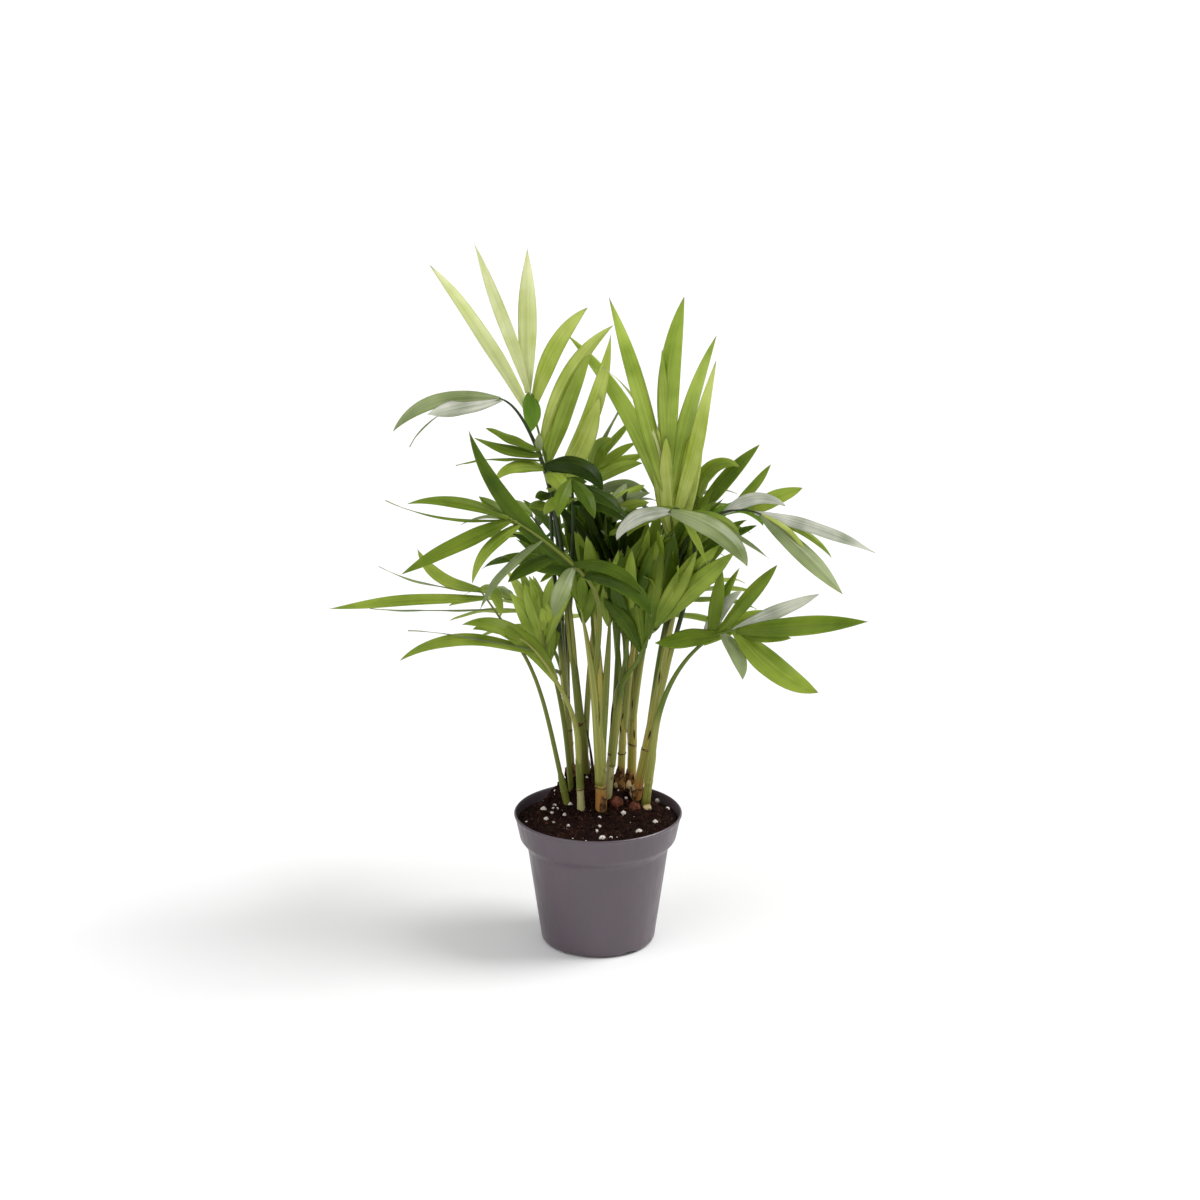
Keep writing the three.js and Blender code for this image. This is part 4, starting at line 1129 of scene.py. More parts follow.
class PALM_OT_build_pot(Operator):
    """Builds the tapered pot with its collar, rolled lip, rounded foot and drain slots"""

    bl_idname = "palm.build_pot"
    bl_label = "Build pot"

    def execute(self, context):
        outline = pot_outline()
        foot = BASE_RADIUS - BASE_CORNER
        reach = np.linspace(foot * BASE_HUB, foot, BASE_POINTS)
        flat = np.stack([reach, np.zeros(BASE_POINTS)], -1)
        corner = arc((foot, BASE_CORNER), BASE_CORNER, *FOOT_ARC)
        roll = arc((RIM_RADIUS - LIP_ROLL, LIP_LEVEL + LIP_MIDDLE), LIP_ROLL, *ROLL_ARC)
        crown = arc((RIM_RADIUS - LIP_MIDDLE, POT_HEIGHT - LIP_CROWN), LIP_CROWN, *CROWN_ARC)
        inside = outline[::-1] - [WALL, 0]
        reach = np.linspace(foot, foot * BASE_HUB, FLOOR_POINTS)
        floor = np.stack([reach, np.full(FLOOR_POINTS, FLOOR)], -1)
        profile = np.concatenate([flat, corner, outline, roll, crown, inside, floor])
        skin = Skin().add_loft(lathe(profile, POT_SIDES))
        piece = skin.write("pot_shell", [plastic_material(context.scene.palm_pot)])
        bearings = DRAIN_FIRST + np.arange(DRAIN_SLOTS) * 360 / DRAIN_SLOTS
        cut_away(piece, [drain_cutter(bearing) for bearing in bearings])
        piece.data.shade_smooth()
        piece.data.set_sharp_from_angle(angle=math.radians(POT_SHARP_ANGLE))
        settle_piece(piece, "pot", "pot")
        return {"FINISHED"}


# ---- Soil ------------------------------------------------------------------------------------


def soil_level(x, y):
    """Height of the soil: a gentle slope plus a bell-shaped mound that fades towards the wall."""
    across = (x - MOUND_CENTRE[0]) / MOUND_SPREAD[0]
    back = (y - MOUND_CENTRE[1]) / MOUND_SPREAD[1]
    fade = 1 - smooth(*MOUND_FADE, np.hypot(x, y))
    mound = MOUND_HEIGHT * np.exp(-(across**2 + back**2) / 2) * fade
    return SOIL_EDGE_LEVEL + SOIL_SLOPE * y + mound


def crumble(x, y, random):
    """Crumbly relief: a sum of folded waves, the shorter the lower."""
    relief = np.zeros_like(x)
    for wavelength, height in CRUMBLE:
        relief += height * np.abs(plane_waves(x, y, wavelength, CRUMBLE_BEARINGS, random))
    return relief - CRUMBLE_SINK


def pot_radius(level):
    """Inner radius of the pot at a height."""
    outline = pot_outline()
    return np.interp(level, outline[:, 1], outline[:, 0]) - WALL - CLEARANCE


def soil_surface(random):
    """Rings of the soil's top, from the pot's wall in to the middle, and of its hidden sides."""
    angle = full_turn(SOIL_SIDES)
    wall = pot_radius(SOIL_EDGE_LEVEL - SOIL_WALL_DROP)
    radius = np.linspace(wall, SOIL_HUB, SOIL_RINGS)[:, None]
    x, y = radius * np.cos(angle), radius * np.sin(angle)
    rough = smooth(wall, wall - SOIL_WALL_BAND, radius) * (1 - SOIL_WALL_RELIEF) + SOIL_WALL_RELIEF
    top = np.stack([x, y, soil_level(x, y) + crumble(x, y, random) * rough], -1)
    sides = []
    for level in (FLOOR + CLEARANCE, SHOULDER_LEVEL, BAND_LEVEL):
        reach = pot_radius(level) if level > BASE_CORNER else BASE_RADIUS - BASE_CORNER - CLEARANCE
        sides.append(lathe(np.array([[reach, level]]), SOIL_SIDES)[0])
    return np.concatenate([np.stack(sides), top])


class PALM_OT_build_soil(Operator):
    """Builds the crumbly bed of peat"""

    bl_idname = "palm.build_soil"
    bl_label = "Build soil"

    def execute(self, context):
        skin = Skin().add_loft(soil_surface(np.random.default_rng(SOIL_SEED)))
        skin.settle("soil_bed", [peat_material(context.scene.palm_soil)], "soil", "soil")
        return {"FINISHED"}


def ball():
    """Points and faces of a small sphere of twenty faces cut once."""
    mesh = bpy.data.meshes.new("ball")
    shape = bmesh.new()
    bmesh.ops.create_icosphere(shape, subdivisions=2, radius=1.0)
    shape.to_mesh(mesh)
    shape.free()
    points = np.empty(len(mesh.vertices) * 3)
    mesh.vertices.foreach_get("co", points)
    faces = np.array([list(face.vertices) for face in mesh.polygons])
    bpy.data.meshes.remove(mesh)
    return points.reshape(-1, 3), faces


def scattered(count, random, reach):
    """Places spread evenly over the soil's disc."""
    radius = reach * np.sqrt(random.uniform(0, 1, count))
    angle = random.uniform(0, 2 * math.pi, count)
    return np.stack([radius * np.cos(angle), radius * np.sin(angle)], -1)


def add_grains(skin, places, sizes, tones, random, squash, roughness, lift):
    """Lumps on the soil: each is a sphere whose points are pushed in and out at random, flattened
    and turned, and sits a share of its size over the surface."""
    points, faces = ball()
    groups = [(faces, np.zeros(len(faces)))]
    uvs = np.zeros((len(points), 2))
    for (x, y), size, tone in zip(places, sizes, tones):
        shape = points * (1 + roughness * random.uniform(-1, 1, (len(points), 1)))
        shape = shape * random.uniform(squash, 1.0, 3) * size / 2
        turn = random.uniform(0, 2 * math.pi)
        cos, sin = math.cos(turn), math.sin(turn)
        turned = shape @ np.array([[cos, sin, 0], [-sin, cos, 0], [0, 0, 1]])
        centre = np.array([x, y, soil_level(x, y) + lift * size])
        skin.add(turned + centre, uvs, groups, tone)


def rootlet(x, y, random):
    """Rings of a fibre on the soil: even steps whose bearing turns steadily, raised in an arch."""
    bearing, bend = random.uniform(0, 360), random.uniform(*ROOTLET_BEND)
    length = random.uniform(*ROOTLET_LENGTH)
    t = np.linspace(0, 1, ROOTLET_POINTS)
    steps = heading(bearing + bend * t, 0) * length / ROOTLET_POINTS
    line = np.array([x, y, 0]) + np.cumsum(steps, axis=0)
    arch = ROOTLET_ARCH * np.sin(math.pi * t) * random.uniform(0.2, 1)
    line[:, 2] = soil_level(line[:, 0], line[:, 1]) + ROOTLET_LIFT + arch
    radii = random.uniform(*ROOTLET_RADIUS) * (1 - 0.6 * t)
    return strand(line, (0, 0, 1), radii, ROOTLET_SIDES)


class PALM_OT_scatter_grit(Operator):
    """Scatters perlite, peat crumbs and fibres over the soil"""

    bl_idname = "palm.scatter_grit"
    bl_label = "Scatter perlite, crumbs and fibres"

    def execute(self, context):
        settings = context.scene.palm_soil
        random = np.random.default_rng(GRIT_SEED)
        skin = Skin()
        small = scattered(settings.grains, random, GRAIN_REACH)
        places = [(x, y) for x, y, _ in PERLITE] + list(small)
        sizes = [size for *_, size in PERLITE]
        sizes += list(random.uniform(*GRAIN_SIZES, settings.grains))
        tones = [0] * len(sizes)
        add_grains(skin, places, sizes, tones, random, squash=0.6, roughness=0.16, lift=0.12)
        skin.settle("perlite", [fibre_material("perlite")], "soil")

        skin = Skin()
        sizes = random.uniform(*CRUMB_SIZES, settings.crumbs)
        tones = (random.uniform(0, 1, settings.crumbs) > DARK_CRUMBS).astype(int)
        places = scattered(settings.crumbs, random, CRUMB_REACH)
        add_grains(skin, places, sizes, tones, random, squash=0.5, roughness=0.28, lift=0.05)
        materials = [fibre_material("crumb_dark"), fibre_material("crumb_red")]
        skin.settle("peat_crumbs", materials, "soil")

        skin = Skin()
        for x, y in scattered(settings.fibres, random, ROOTLET_REACH):
            skin.add_loft(rootlet(x, y, random))
        skin.settle("rootlets", [fibre_material("rootlet")], "soil")
        return {"FINISHED"}


def lump(x, y, lift, radius, tall, phase):
    """Rings of a seed or a shoot's foot: a sphere's outline, sin(pi t)^0.7, stretched upwards,
    whose sides swell in three waves and in five that turn as they rise."""
    t = np.linspace(0.04, 0.98, LUMP_RINGS)[:, None]
    angle = full_turn(LUMP_SIDES)
    three, five = LUMP_SWELLS
    wobble = 1 + three * np.sin(3 * angle + phase) + five * np.sin(5 * angle + LUMP_TURN * t)
    reach = radius * np.sin(math.pi * t) ** 0.7 * wobble
    level = soil_level(x, y) + lift - radius * 0.8 + 2 * radius * tall * (t - 0.15)
    rings = (x + reach * np.cos(angle), y + reach * np.sin(angle), level)
    return np.stack(np.broadcast_arrays(*rings), -1)


class PALM_OT_build_lumps(Operator):
    """Builds the old seeds and the swollen feet of side shoots that lie on the soil"""

    bl_idname = "palm.build_lumps"
    bl_label = "Build seeds and shoot feet"

    def execute(self, context):
        random = np.random.default_rng(LUMP_SEED)
        skin = Skin()
        for *shape, kind in LUMPS:
            skin.add_loft(lump(*shape, random.uniform(0, 6)), kind)
        materials = [fibre_material("seed_husk"), fibre_material("shoot_foot")]
        skin.settle("seeds_and_shoot_feet", materials, "cane")
        return {"FINISHED"}


# ---- Canes -----------------------------------------------------------------------------------


def foot_level(cane):
    """Level of a cane's flat foot: the lowest soil at eight places round it."""
    x, y = CANES[cane].foot
    reach = CANES[cane].radii[0] * CANE_FLARE + CLEARANCE
    angle = 2 * math.pi * np.arange(FOOT_SIDES) / FOOT_SIDES
    return soil_level(x + reach * np.cos(angle), y + reach * np.sin(angle)).min()


def cane_line(cane):
    """Foot, top and unit axis of a cane."""
    foot = np.array([*CANES[cane].foot, foot_level(cane)])
    top = np.array(CANES[cane].top, float)
    return foot, top, unit(top - foot)


def cane_length(cane):
    """Length of a cane from foot to top."""
    foot, top, _ = cane_line(cane)
    return np.linalg.norm(top - foot)


def along_cane(cane, place):
    """Points on a cane's axis at places along it, from 0 at its foot to 1 at its top."""
    foot, top, _ = cane_line(cane)
    return foot + place[..., None] * (top - foot)


def cane_radius(cane, place):
    """Radius along a cane: an even taper, a flare at the foot and a slight swelling at its node."""
    foot, top = CANES[cane].radii
    flare = 1 + (CANE_FLARE - 1) * np.clip(1 - place / FLARE_END, 0, None) ** 1.6
    swell = 1 + (NODE_SWELL - 1) * np.exp(-(((place - NODE_PLACE) / NODE_HALF_HEIGHT) ** 2))
    return (foot + (top - foot) * place) * flare * swell


def on_cane(cane, place, bearing, lift):
    """Points on a cane's skin at places along it and bearings round it."""
    reach = (cane_radius(cane, place) + lift)[..., None]
    return along_cane(cane, place) + heading(bearing, 0) * reach


def cane_skin(name, settings, phase):
    """Rings of a cane: its radius, closing in on its petioles at the top, plus fine lengthwise
    ridges and a slight two-sided drift that turns as it rises."""
    place = np.linspace(0, 1, CANE_STATIONS)
    angle = full_turn(CANE_SIDES)
    ridges = np.sin(settings.ridges * angle + phase) * settings.ridge_height / MM
    drift = CANE_DRIFT * np.sin(2 * angle + phase + CANE_DRIFT_TURN * place[:, None])
    close = 1 - smooth(*CANE_CLOSING, place) * CANE_CLOSED
    radii = cane_radius(name, place)[:, None] * close[:, None] + ridges + drift
    return tube(along_cane(name, place), cane_line(name)[2], (1, 0, 0), radii, CANE_SIDES)


def scar_ring(name, place, tilt):
    """Rings of a leaf scar: a thin collar that bulges by a cosine, tilted a little."""
    across = np.linspace(-1, 1, SCAR_STATIONS)
    centres = along_cane(name, place + across * SCAR_HALF_HEIGHT / cane_length(name))
    skin_radius = cane_radius(name, np.full(SCAR_STATIONS, place))
    bulge = skin_radius - SCAR_SINK + SCAR_BULGE * np.cos(1.5 * across)
    lean = unit(cane_line(name)[2] + np.array([tilt, tilt / 2, 0]))
    return tube(centres, lean, (1, 0, 0), bulge, SCAR_SIDES)


class PALM_OT_build_canes(Operator):
    """Builds the ribbed canes with their leaf-scar rings"""

    bl_idname = "palm.build_canes"
    bl_label = "Build canes"

    def execute(self, context):
        settings = context.scene.palm_canes
        random = np.random.default_rng(CANE_SEED)
        skin = Skin()
        materials = []
        for index, (name, cane) in enumerate(CANES.items()):
            tones = STEM_TONES[cane.foot_tone], STEM_TONES[cane.body_tone]
            materials.append(stem_material(name + "_sheath", *tones, cane.foot_tone_end))
            skin.add_loft(cane_skin(name, settings, random.uniform(0, 6)), index)
        skin.settle("canes", materials, "cane", *CANES)

        skin = Skin()
        for name, cane in CANES.items():
            for place in cane.scars:
                skin.add_loft(scar_ring(name, place, random.uniform(-SCAR_TILT, SCAR_TILT)))
        skin.settle("leaf_scars", [fibre_material("leaf_scar")], "cane")
        return {"FINISHED"}


def paper_sheath(cane, bearing, low, high, turn, flare, phase):
    """Rings of a torn sheath: a thin sheet round part of a cane, that stands off further the
    higher it gets, by flare * up^2.2, and whose upper edge is torn in waves and falls towards its
    sides."""
    across = np.linspace(-turn / 2, turn / 2, PAPER_SIDES)
    torn = high * (0.62 + 0.38 * np.abs(np.sin(across / TEAR_PITCH + phase)))
    torn = torn * (1 - 0.35 * np.abs(across * 2 / turn) ** 3)
    up = np.linspace(0, 1, PAPER_STATIONS)[:, None]
    place = (low + (torn - low) * up) / cane_length(cane)
    lift = PAPER_GAP + flare * up**2.2 * (1 + 0.4 * np.sin(across / RUFFLE_PITCH))
    bearings = np.broadcast_to(bearing + across, place.shape)
    outer = on_cane(cane, place, bearings, lift + PAPER_THICKNESS)
    inner = on_cane(cane, place, bearings, lift)
    return np.concatenate([outer, inner[:, ::-1]], axis=1)


# A slit is a dark strand on the skin: painted shade inside a split sheath
def slit(cane, place, bearing, length, lean):
    """Rings of a slit: a strand on the cane's skin, thickest in its middle and leaning across."""
    along = np.linspace(-1, 1, SLIT_POINTS)
    places = place + along * length / 2 / cane_length(cane)
    line = on_cane(cane, places, bearing + lean * along, SLIT_LIFT)
    radii = SLIT_RADIUS[0] + SLIT_RADIUS[1] * (1 - along**2) ** 1.5
    return strand(line, heading(bearing, 0), radii, SLIT_SIDES)


class PALM_OT_build_sheaths(Operator):
    """Builds the torn papery sheaths round the feet, the dark slits of painted shade and the dead
    spike
    """

    bl_idname = "palm.build_sheaths"
    bl_label = "Build papery sheaths"

    def execute(self, context):
        random = np.random.default_rng(PAPER_SEED)
        skin = Skin()
        for row in PAPER_SHEATHS:
            skin.add_loft(paper_sheath(*row, random.uniform(0, 6)))
        skin.settle("papery_sheaths", [fibre_material("papery_sheath")], "cane")

        skin = Skin()
        for row in SLITS:
            skin.add_loft(slit(*row))
        spike, directions = bezier(DEAD_SPIKE, np.linspace(0, 1, SPIKE_POINTS))
        radii = np.linspace(*SPIKE_RADIUS, SPIKE_POINTS)
        skin.add_loft(tube(spike, directions, (1, 0, 0), radii, SPIKE_SIDES))
        skin.settle("painted_slit_shade_and_dead_spike", [fibre_material("slit")], "cane")
        return {"FINISHED"}


# ---- Fronds ----------------------------------------------------------------------------------


def fronds_on(cane):
    """Number of fronds that a cane carries."""
    return sum(frond.cane == cane for frond in FRONDS.values())


def frond_spine(name):
    """Controls of the petiole and of the rib, the petiole's radius, and the seat's direction. The
    petiole leaves its cane along the cane's axis, eases over to the knee, and the rib arches on."""
    frond = FRONDS[name]
    _, top, axis = cane_line(frond.cane)
    top_radius = CANES[frond.cane].radii[1]
    shared = fronds_on(frond.cane) > 1
    radius = min(PETIOLE_RADIUS, top_radius * (PETIOLE_SHARED if shared else PETIOLE_ALONE))
    seat = heading(frond.seat, 0)
    seat = unit(seat - (seat @ axis) * axis)
    start = top + axis * CLEARANCE
    if shared:
        start = start + seat * (top_radius - radius)
    knee, tip = np.array(frond.knee, float), np.array(frond.tip, float)
    crest = (knee + tip) / 2 + [0, 0, 2 * frond.arch]
    reach = np.linalg.norm(knee - start)
    out = unit(crest - knee)
    controls = [start, start + axis * reach * PETIOLE_RISE, knee - out * reach * KNEE_EASE, knee]
    return controls, [knee, crest, tip], radius, seat


def leaf_line(root, face, leaflet, swing, share, steps):
    """Midrib of a leaflet: equal steps whose rise falls by droop * place^1.6 on the way to the tip,
    each tilted out of the frond's plane by the swing."""
    _, bearing, rise, length, droop = leaflet[:5]
    place = (np.arange(steps) + 0.5) / steps
    directions = unit(heading(bearing, rise - droop * place**DROOP_POWER) + face * swing)
    points = np.concatenate([[root], root + np.cumsum(directions * length * share / steps, axis=0)])
    return points, np.concatenate([directions[:1], directions])


def leaf_sections(face, leaflet, root, swing, share, places):
    """Centre, direction, unit vector across and unit vector out of the upper face, at places along
    a leaflet. Across is face x direction, turned by the twist about the direction."""
    points, directions = leaf_line(root, face, leaflet, swing, share, LEAF_LINE_STEPS)
    at = places * LEAF_LINE_STEPS
    known = np.arange(LEAF_LINE_STEPS + 1)
    centre = np.stack([np.interp(at, known, points[:, axis]) for axis in range(3)], -1)
    direction = unit(np.stack([np.interp(at, known, directions[:, axis]) for axis in range(3)], -1))
    twist = math.radians(leaflet[5]) if len(leaflet) > 5 else 0.0
    level = unit(np.cross(face, direction))
    across = level * math.cos(twist) + np.cross(direction, level) * math.sin(twist)
    return centre, direction, across, np.cross(direction, across)


def clearance_outline(place):
    """Half-width that the leaflets' clearance is worked out with, as a share of the full one."""
    closing = 1.35 * np.clip(1 - place, 0, 1) ** 0.6
    return np.minimum(np.minimum(0.25 + 2.2 * place, closing), 1)


def half_width(width, leaflet):
    """Full half-width of a leaflet: half the frond's width times the leaflet's own factor."""
    return width / 2 * (leaflet[6] if len(leaflet) > 6 else 1)


class KeepOuts:
    """Points that leaflets of other fronds stay clear of, with a distance and an owner each."""

    def __init__(self):
        self.points = np.empty((0, 3))
        self.distances = np.empty(0)
        self.owners = np.empty(0, int)

    def add(self, points, distance, owner):
        """Points to stay clear of by a distance, or by one of their own each."""
        self.points = np.concatenate([self.points, points])
        self.distances = np.concatenate([self.distances, np.broadcast_to(distance, len(points))])
        self.owners = np.concatenate([self.owners, np.full(len(points), owner)])

    def add_curve(self, controls, radius_at, owner):
        """Points at even parameters of a curve, about four millimetres apart."""
        count = math.ceil(curve_length(controls) / LIMB_SAMPLE_STEP)
        place = np.arange(count + 1) / count
        points, _ = bezier(controls, place)
        self.add(points, radius_at(place) + LIMB_CLEARANCE, owner)

    def clear(self, samples, owner):
        """Whether every sample is far enough from every point of another owner."""
        low, high = samples.min(0), samples.max(0)
        outside = np.maximum(np.maximum(low - self.points, self.points - high), 0)
        gap = np.linalg.norm(outside, axis=1)
        near = (self.owners != owner) & (gap < self.distances)
        away = np.linalg.norm(self.points[near][:, None] - samples[None], axis=2)
        return not (away < self.distances[near][:, None]).any()


def leaf_samples(name, leaflet, root, swing, share):
    """Points over a leaflet's blade that the clearance is tested with."""
    count = max(3, math.ceil(leaflet[3] * share / SAMPLE_ALONG))
    place = np.arange(1, count + 1) / count
    frond = FRONDS[name]
    centre, _, across, _ = leaf_sections(heading(*frond.face), leaflet, root, swing, share, place)
    across = across * (half_width(frond.width, leaflet) * clearance_outline(place))[:, None]
    return (centre[:, None] + SAMPLE_ACROSS[:, None] * across[:, None]).reshape(-1, 3)


def settled_leaflets():
    """Every leaflet that finds room, as frond, leaflet, its number, root, swing and share. Each is
    swung out of its frond's plane in small steps, then shortened, until it clears other fronds."""
    keep_outs = KeepOuts()
    owners = {name: i for i, name in enumerate([*CANES, *FRONDS])}
    for cane in CANES:
        foot, top, _ = cane_line(cane)
        low, high = CANES[cane].radii
        keep_outs.add_curve([foot, top], lambda place: low + (high - low) * place, owners[cane])
    for name in FRONDS:
        petiole, rib, _, _ = frond_spine(name)
        keep_outs.add_curve(petiole, lambda place: PETIOLE_RADIUS + 0 * place, owners[name])
        keep_outs.add_curve(rib, lambda place: KNEE_RADIUS + 0 * place, owners[name])
    settled = []
    tries = [(swing, share) for share in SHORTENINGS for swing in SWINGS]
    for name, frond in FRONDS.items():
        rib = frond_spine(name)[1]
        for number, leaflet in enumerate(frond.leaflets):
            root = bezier(rib, leaflet[0])[0][0] - heading(*leaflet[1:3]) * LEAF_ROOT_SINK
            for swing, share in tries:
                samples = leaf_samples(name, leaflet, root, swing, share)
                if keep_outs.clear(samples, owners[name]):
                    keep_outs.add(samples, LEAF_CLEARANCE, owners[name])
                    settled.append((name, leaflet, number, root, swing, share))
                    break
    return settled


def leaf_outline(place, peak, power):
    """Half-width along a leaflet as a share of the full one: 1 - 0.7 * (1 - p/peak)^2 from a narrow
    root up to the peak, then 1 - t^power down to the pointed tip."""
    rise = 1 - 0.7 * (1 - np.clip(place / peak, 0, 1)) ** 2
    fall = 1 - np.clip((place - peak) / (1 - peak), 0, 1) ** power
    return np.where(place < peak, rise, fall)


def blade(face, full_width, leaflet, root, swing, share, random, fold):
    """Rings of a leaflet's closed blade. Across is s in -1 to 1 and along is p in 0 to 1: a point
    lies s * width across, and falls from the midrib's ridge by fold * |s|, with shallow pleats,
    edges that ripple along the blade, a raised midrib, and a thickness that runs out at the
    edges."""
    place = np.linspace(0, 1, LEAF_STATIONS) ** 0.92
    centre, _, across, upper = leaf_sections(face, leaflet, root, swing, share, place)
    place = place[:, None]
    peak, power = random.uniform(*BLADE_PEAKS), random.uniform(*BLADE_POWERS)
    width = half_width(full_width, leaflet) * leaf_outline(place, peak, power)
    sway, bend = random.uniform(*BLADE_SWAYS), random.uniform(*BLADE_BENDS)
    shift = sway * np.sin(math.pi * place * bend) * place
    s = np.linspace(-1, 1, LEAF_ACROSS)
    phase, waves = random.uniform(0, 2 * math.pi), random.uniform(*BLADE_WAVES)
    drop = fold * random.uniform(*BLADE_FOLDS) * (1.15 - 0.75 * place) * np.abs(s) * width
    pleats = PLEAT_HEIGHT * np.cos(3 * math.pi * s) * smooth(0, 0.1, place) * (1 - place)
    edge = np.sin(2 * math.pi * waves * place + phase + 0.8 * np.sign(s)) * s**2
    ripple = RIPPLE_HEIGHT * edge * smooth(0.1, 0.4, place)
    curl = random.uniform(*BLADE_CURLS) * place**2 * s * width * CURL_HEIGHT
    thick = LEAF_THICKNESS / 2 * (1 - s**4) * (1 - 0.6 * place)
    midrib = MIDRIB_HEIGHT * np.exp(-((s * width / MIDRIB_HALF_WIDTH) ** 2)) * (1 - place) ** 0.7
    height = pleats + ripple + curl - drop
    top = height + thick + midrib * 0.3
    under = height - thick - midrib
    side = (s * width + shift)[..., None] * across[:, None]
    upper_side = centre[:, None] + side + top[..., None] * upper[:, None]
    under_side = centre[:, None] + side + under[..., None] * upper[:, None]
    rings = np.concatenate([upper_side[:, ::-1], under_side[:, 1:-1]], axis=1)
    u = np.concatenate([(s[::-1] + 1) / 2, (s[1:-1] + 1) / 2])
    return rings, np.stack(np.broadcast_arrays(u, place), -1)


def channelled(angle):
    """Section of a stalk: round, with a shallow channel along its upper side."""
    off_top = np.abs(angle - math.pi) - math.pi
    return 1 - CHANNEL_DEPTH * np.exp(-((off_top / CHANNEL_WIDTH) ** 2))


def inner_frond(frond):
    """A slender inner frond: centres and directions along its stalk and rib, their radii, and its
    leaflets with their roots."""
    t, q = np.linspace(0, 1, INNER_STALK_STATIONS), np.linspace(0, 1, INNER_RIB_STATIONS)[1:]
    stalk, stalk_ways = bezier(frond.stalk, t)
    knee = frond.stalk[-1]
    crest = (np.array(knee) + frond.tip) / 2 + [0, 0, INNER_KNEE_RISE]
    rib = [knee, crest, frond.tip]
    ribs, rib_ways = bezier(rib, q)
    stalk_radii = INNER_KNEE_RADIUS + (frond.radius - INNER_KNEE_RADIUS) * (1 - t**1.5)
    radii = np.concatenate([stalk_radii, INNER_KNEE_RADIUS - INNER_RIB_TAPER * q])
    leaflets = []
    random = np.random.default_rng(round(frond.longest * frond.radius))
    for place, opening in zip(INNER_PLACES, INNER_OPENING):
        for side in (1, -1):
            turn, lift = random.uniform(*INNER_TURNS), random.uniform(*INNER_LIFTS)
            length = frond.longest * random.uniform(*INNER_SHARES)
            bearing = frond.bearing + side * opening + turn
            leaflet = (place, bearing, frond.rise + lift, length, INNER_DROOP)
            leaflets.append((leaflet, bezier(rib, place)[0][0]))
    return np.concatenate([stalk, ribs]), np.concatenate([stalk_ways, rib_ways]), radii, leaflets


def frond_stalk(name):
    """Centres, directions and radii along a frond's stalk, and the direction of its seat: the part
    that stands out of its cane's sheath by a smoothstep, the petiole up to the knee, and the rib."""
    petiole, rib, radius, seat = frond_spine(name)
    cane = FRONDS[name].cane
    top_radius = CANES[cane].radii[1]
    shared = fronds_on(cane) > 1
    inside = np.linspace(SHEATH_FROM, 1, SHEATH_STATIONS)[:-1]
    slide = smooth(SHEATH_FROM, 1, inside)
    offset = top_radius - radius if shared else 0
    sheath = along_cane(cane, inside) + seat * slide[:, None] * offset
    t, q = np.linspace(0, 1, PETIOLE_STATIONS), np.linspace(0, 1, RIB_STATIONS)[1:]
    stalk, stalk_ways = bezier(petiole, t)
    ribs, rib_ways = bezier(rib, q)
    axis = np.broadcast_to(cane_line(cane)[2], sheath.shape)
    base = top_radius * (SHARED_BASE if shared else LONE_BASE)
    hidden = cane_radius(cane, inside) * (SHARED_HIDDEN if shared else LONE_HIDDEN)
    sheath_radius = hidden + (base - hidden) * slide
    stalk_radius = STALK_RADIUS + (base - STALK_RADIUS) * (1 - t) ** 1.4
    rib_radius = STALK_RADIUS + (RIB_TIP_RADIUS - STALK_RADIUS) * q
    centres = np.concatenate([sheath, stalk, ribs])
    ways = np.concatenate([axis, stalk_ways, rib_ways])
    return centres, ways, np.concatenate([sheath_radius, stalk_radius, rib_radius]), seat


class PALM_OT_build_petioles(Operator):
    """Builds the petioles that rise out of their canes' sheaths, and the ribs of the fronds"""

    bl_idname = "palm.build_petioles"
    bl_label = "Build petioles and ribs"

    def execute(self, context):
        tones = sorted({frond.tone for frond in [*FRONDS.values(), *INNER_FRONDS]})
        skin = Skin()
        materials = []
        for tone in tones:
            foot = STEM_TONES["moss" if tone == "moss" else "pale_green"]
            materials.append(stem_material("petiole_" + tone, foot, STEM_TONES[tone], FOOT_SHARE))
        for name, frond in FRONDS.items():
            centres, ways, radii, seat = frond_stalk(name)
            rings = tube(centres, ways, -seat, radii, PETIOLE_SIDES, channelled)
            skin.add_loft(rings, tones.index(frond.tone))
        for frond in INNER_FRONDS:
            centres, ways, radii, _ = inner_frond(frond)
            rings = tube(centres, ways, (0, 1, 0), radii, PETIOLE_SIDES, channelled)
            skin.add_loft(rings, tones.index(frond.tone))
        skin.settle("petioles_and_ribs", materials, "cane")
        return {"FINISHED"}


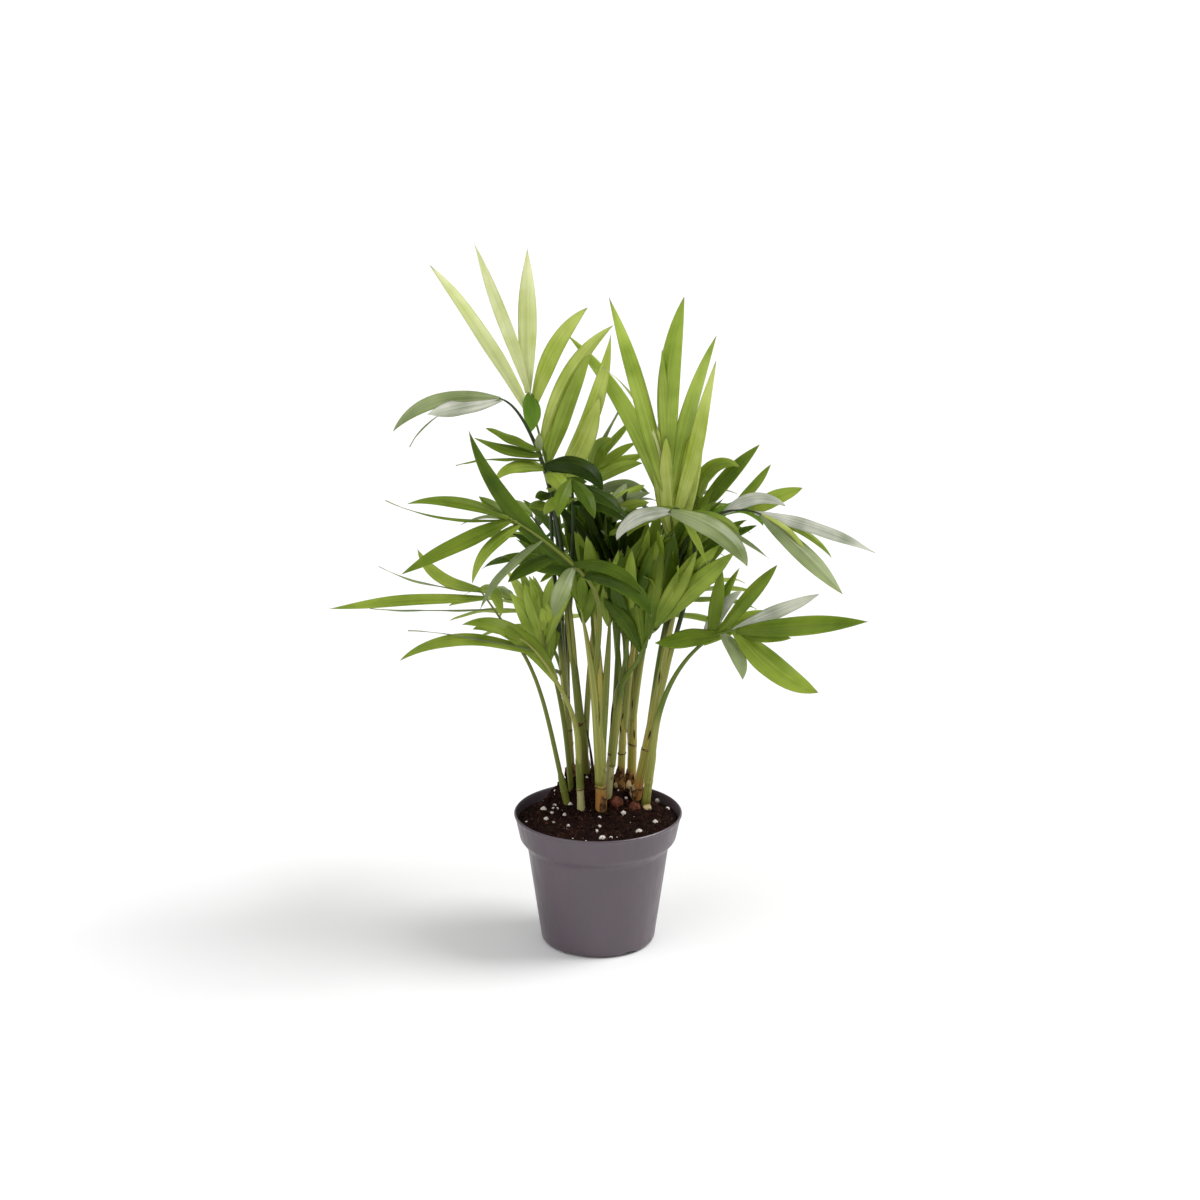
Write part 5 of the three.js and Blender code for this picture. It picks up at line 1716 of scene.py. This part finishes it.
class PALM_OT_build_leaflets(Operator):
    """Grows the leaflets of every frond and joins them by age"""

    bl_idname = "palm.build_leaflets"
    bl_label = "Build leaflets"

    def execute(self, context):
        settings = context.scene.palm_fronds
        letters = list(LEAF_TONES)
        materials = [leaf_material(letter, settings) for letter in letters]
        skins = {age: Skin() for age in ("young", "mid", "deep")}
        for name, leaflet, number, root, swing, share in settled_leaflets():
            random = np.random.default_rng([number, *name.encode()])
            frond = FRONDS[name]
            face = heading(*frond.face)
            rings, uvs = blade(face, frond.width, leaflet, root, swing, share, random, settings.fold)
            tone = letters.index(frond.leaf_tones[number])
            skins[frond.age].add_loft(rings, tone, uvs, LEAF_ACROSS - 1)
        for age, skin in skins.items():
            nodes = [name for name, frond in FRONDS.items() if frond.age == age]
            skin.settle("leaflets_" + age, materials, "leaf_" + age, *nodes)

        half = len(INNER_FRONDS) // 2
        random = np.random.default_rng(INNER_SEED)
        for part, fronds in enumerate((INNER_FRONDS[:half], INNER_FRONDS[half:]), 1):
            skin = Skin()
            for frond in fronds:
                face = heading(frond.face, INNER_FACE_RISE)
                for number, (leaflet, root) in enumerate(inner_frond(frond)[3]):
                    rings, uvs = blade(face, frond.width, leaflet, root, 0, 1, random, settings.fold)
                    tone = letters.index(frond.leaf_tones[number % len(frond.leaf_tones)])
                    skin.add_loft(rings, tone, uvs, LEAF_ACROSS - 1)
            skin.settle(f"leaflets_inner_{part}", materials, "leaf_deep")
        return {"FINISHED"}


# ---- Stage -----------------------------------------------------------------------------------

CAMERA_PLACE = (0.0014, -2.005, 0.8675)
SENSOR = 36.0
FLOOR_REACH = 14.0
FLOOR_COLOURS = (0.93, 0.93, 0.93), (0.95, 0.95, 0.95)

# Bearing, elevation and angular size of each light
KEY_LIGHT = (6, 50, 32)
FRONT_LIGHT = (-140, 34, 60)
FRONT_SHARE = 0.38


def sun(name, bearing, elevation, spread, strength):
    """Even light from a bearing and an elevation, in degrees, softened over an angle."""
    light = bpy.data.lights.new(name, "SUN")
    light.energy = strength
    light.angle = math.radians(spread)
    lamp = bpy.data.objects.new(name, light)
    lamp.rotation_euler = (math.radians(90 - elevation), 0, math.radians(bearing + 90))
    bpy.context.scene.collection.objects.link(lamp)


class PALM_OT_build_stage(Operator):
    """Sets up the camera, the pale floor and soft studio light"""

    bl_idname = "palm.build_stage"
    bl_label = "Build stage"

    def execute(self, context):
        settings = context.scene.palm_stage
        scene = context.scene
        camera = bpy.data.cameras.new("camera")
        camera.lens = settings.lens
        camera.sensor_width = SENSOR
        holder = bpy.data.objects.new("camera", camera)
        holder.location = CAMERA_PLACE
        holder.rotation_euler = (math.pi / 2 - settings.pitch, 0, 0)
        scene.collection.objects.link(holder)
        scene.camera = holder

        floor_mesh = bpy.data.meshes.new("floor")
        reach = FLOOR_REACH
        corners = [(-reach, -reach, 0), (reach, -reach, 0), (reach, reach, 0), (-reach, reach, 0)]
        floor_mesh.from_pydata(corners, [], [(0, 1, 2, 3)])
        paint = Surface("floor_paint", 0.8)
        mottle = paint.noise(paint.object_place, 3.0, 2.0)
        floor_mesh.materials.append(paint.finish(paint.mix(mottle, *FLOOR_COLOURS)))
        floor = bpy.data.objects.new("floor", floor_mesh)
        scene.collection.objects.link(floor)

        world = bpy.data.worlds.new("studio")
        world.use_nodes = True
        world.node_tree.nodes["Background"].inputs["Color"].default_value = (1, 1, 1, 1)
        world.node_tree.nodes["Background"].inputs["Strength"].default_value = settings.sky
        scene.world = world
        sun("key", *KEY_LIGHT, settings.key_strength)
        sun("front", *FRONT_LIGHT, settings.key_strength * FRONT_SHARE)
        scene.view_settings.view_transform = "Standard"
        return {"FINISHED"}


# ---- Panel and running -----------------------------------------------------------------------

SETTINGS = {
    "palm_pot": PalmPot, "palm_soil": PalmSoil, "palm_canes": PalmCanes, "palm_fronds": PalmFronds,
    "palm_stage": PalmStage,
}
OPERATORS = (
    PALM_OT_build_stage, PALM_OT_build_pot, PALM_OT_build_soil, PALM_OT_scatter_grit,
    PALM_OT_build_lumps, PALM_OT_build_canes, PALM_OT_build_sheaths, PALM_OT_build_petioles,
    PALM_OT_build_leaflets,
)


class PALM_PT_sidebar(Panel):
    """Lists the steps that build the potted palm"""

    bl_idname = "PALM_PT_sidebar"
    bl_label = "Potted palm"
    bl_space_type = "VIEW_3D"
    bl_region_type = "UI"
    bl_category = "Palm"

    def draw(self, context):
        for operator in OPERATORS:
            self.layout.operator(operator.bl_idname)
        for key, group in SETTINGS.items():
            box = self.layout.box()
            for name in group.__annotations__:
                box.prop(getattr(context.scene, key), name)


def register():
    """Adds the settings, the operators and the panel."""
    for group in SETTINGS.values():
        bpy.utils.register_class(group)
    for key, group in SETTINGS.items():
        setattr(bpy.types.Scene, key, PointerProperty(type=group))
    for operator in OPERATORS:
        bpy.utils.register_class(operator)
    bpy.utils.register_class(PALM_PT_sidebar)


def unregister():
    """Takes them away again."""
    bpy.utils.unregister_class(PALM_PT_sidebar)
    for operator in reversed(OPERATORS):
        bpy.utils.unregister_class(operator)
    for key, group in SETTINGS.items():
        delattr(bpy.types.Scene, key)
        bpy.utils.unregister_class(group)


def main():
    """Builds every piece in order."""
    register()
    for operator in OPERATORS:
        package, step = operator.bl_idname.split(".")
        getattr(getattr(bpy.ops, package), step)()


if __name__ == "__main__":
    main()
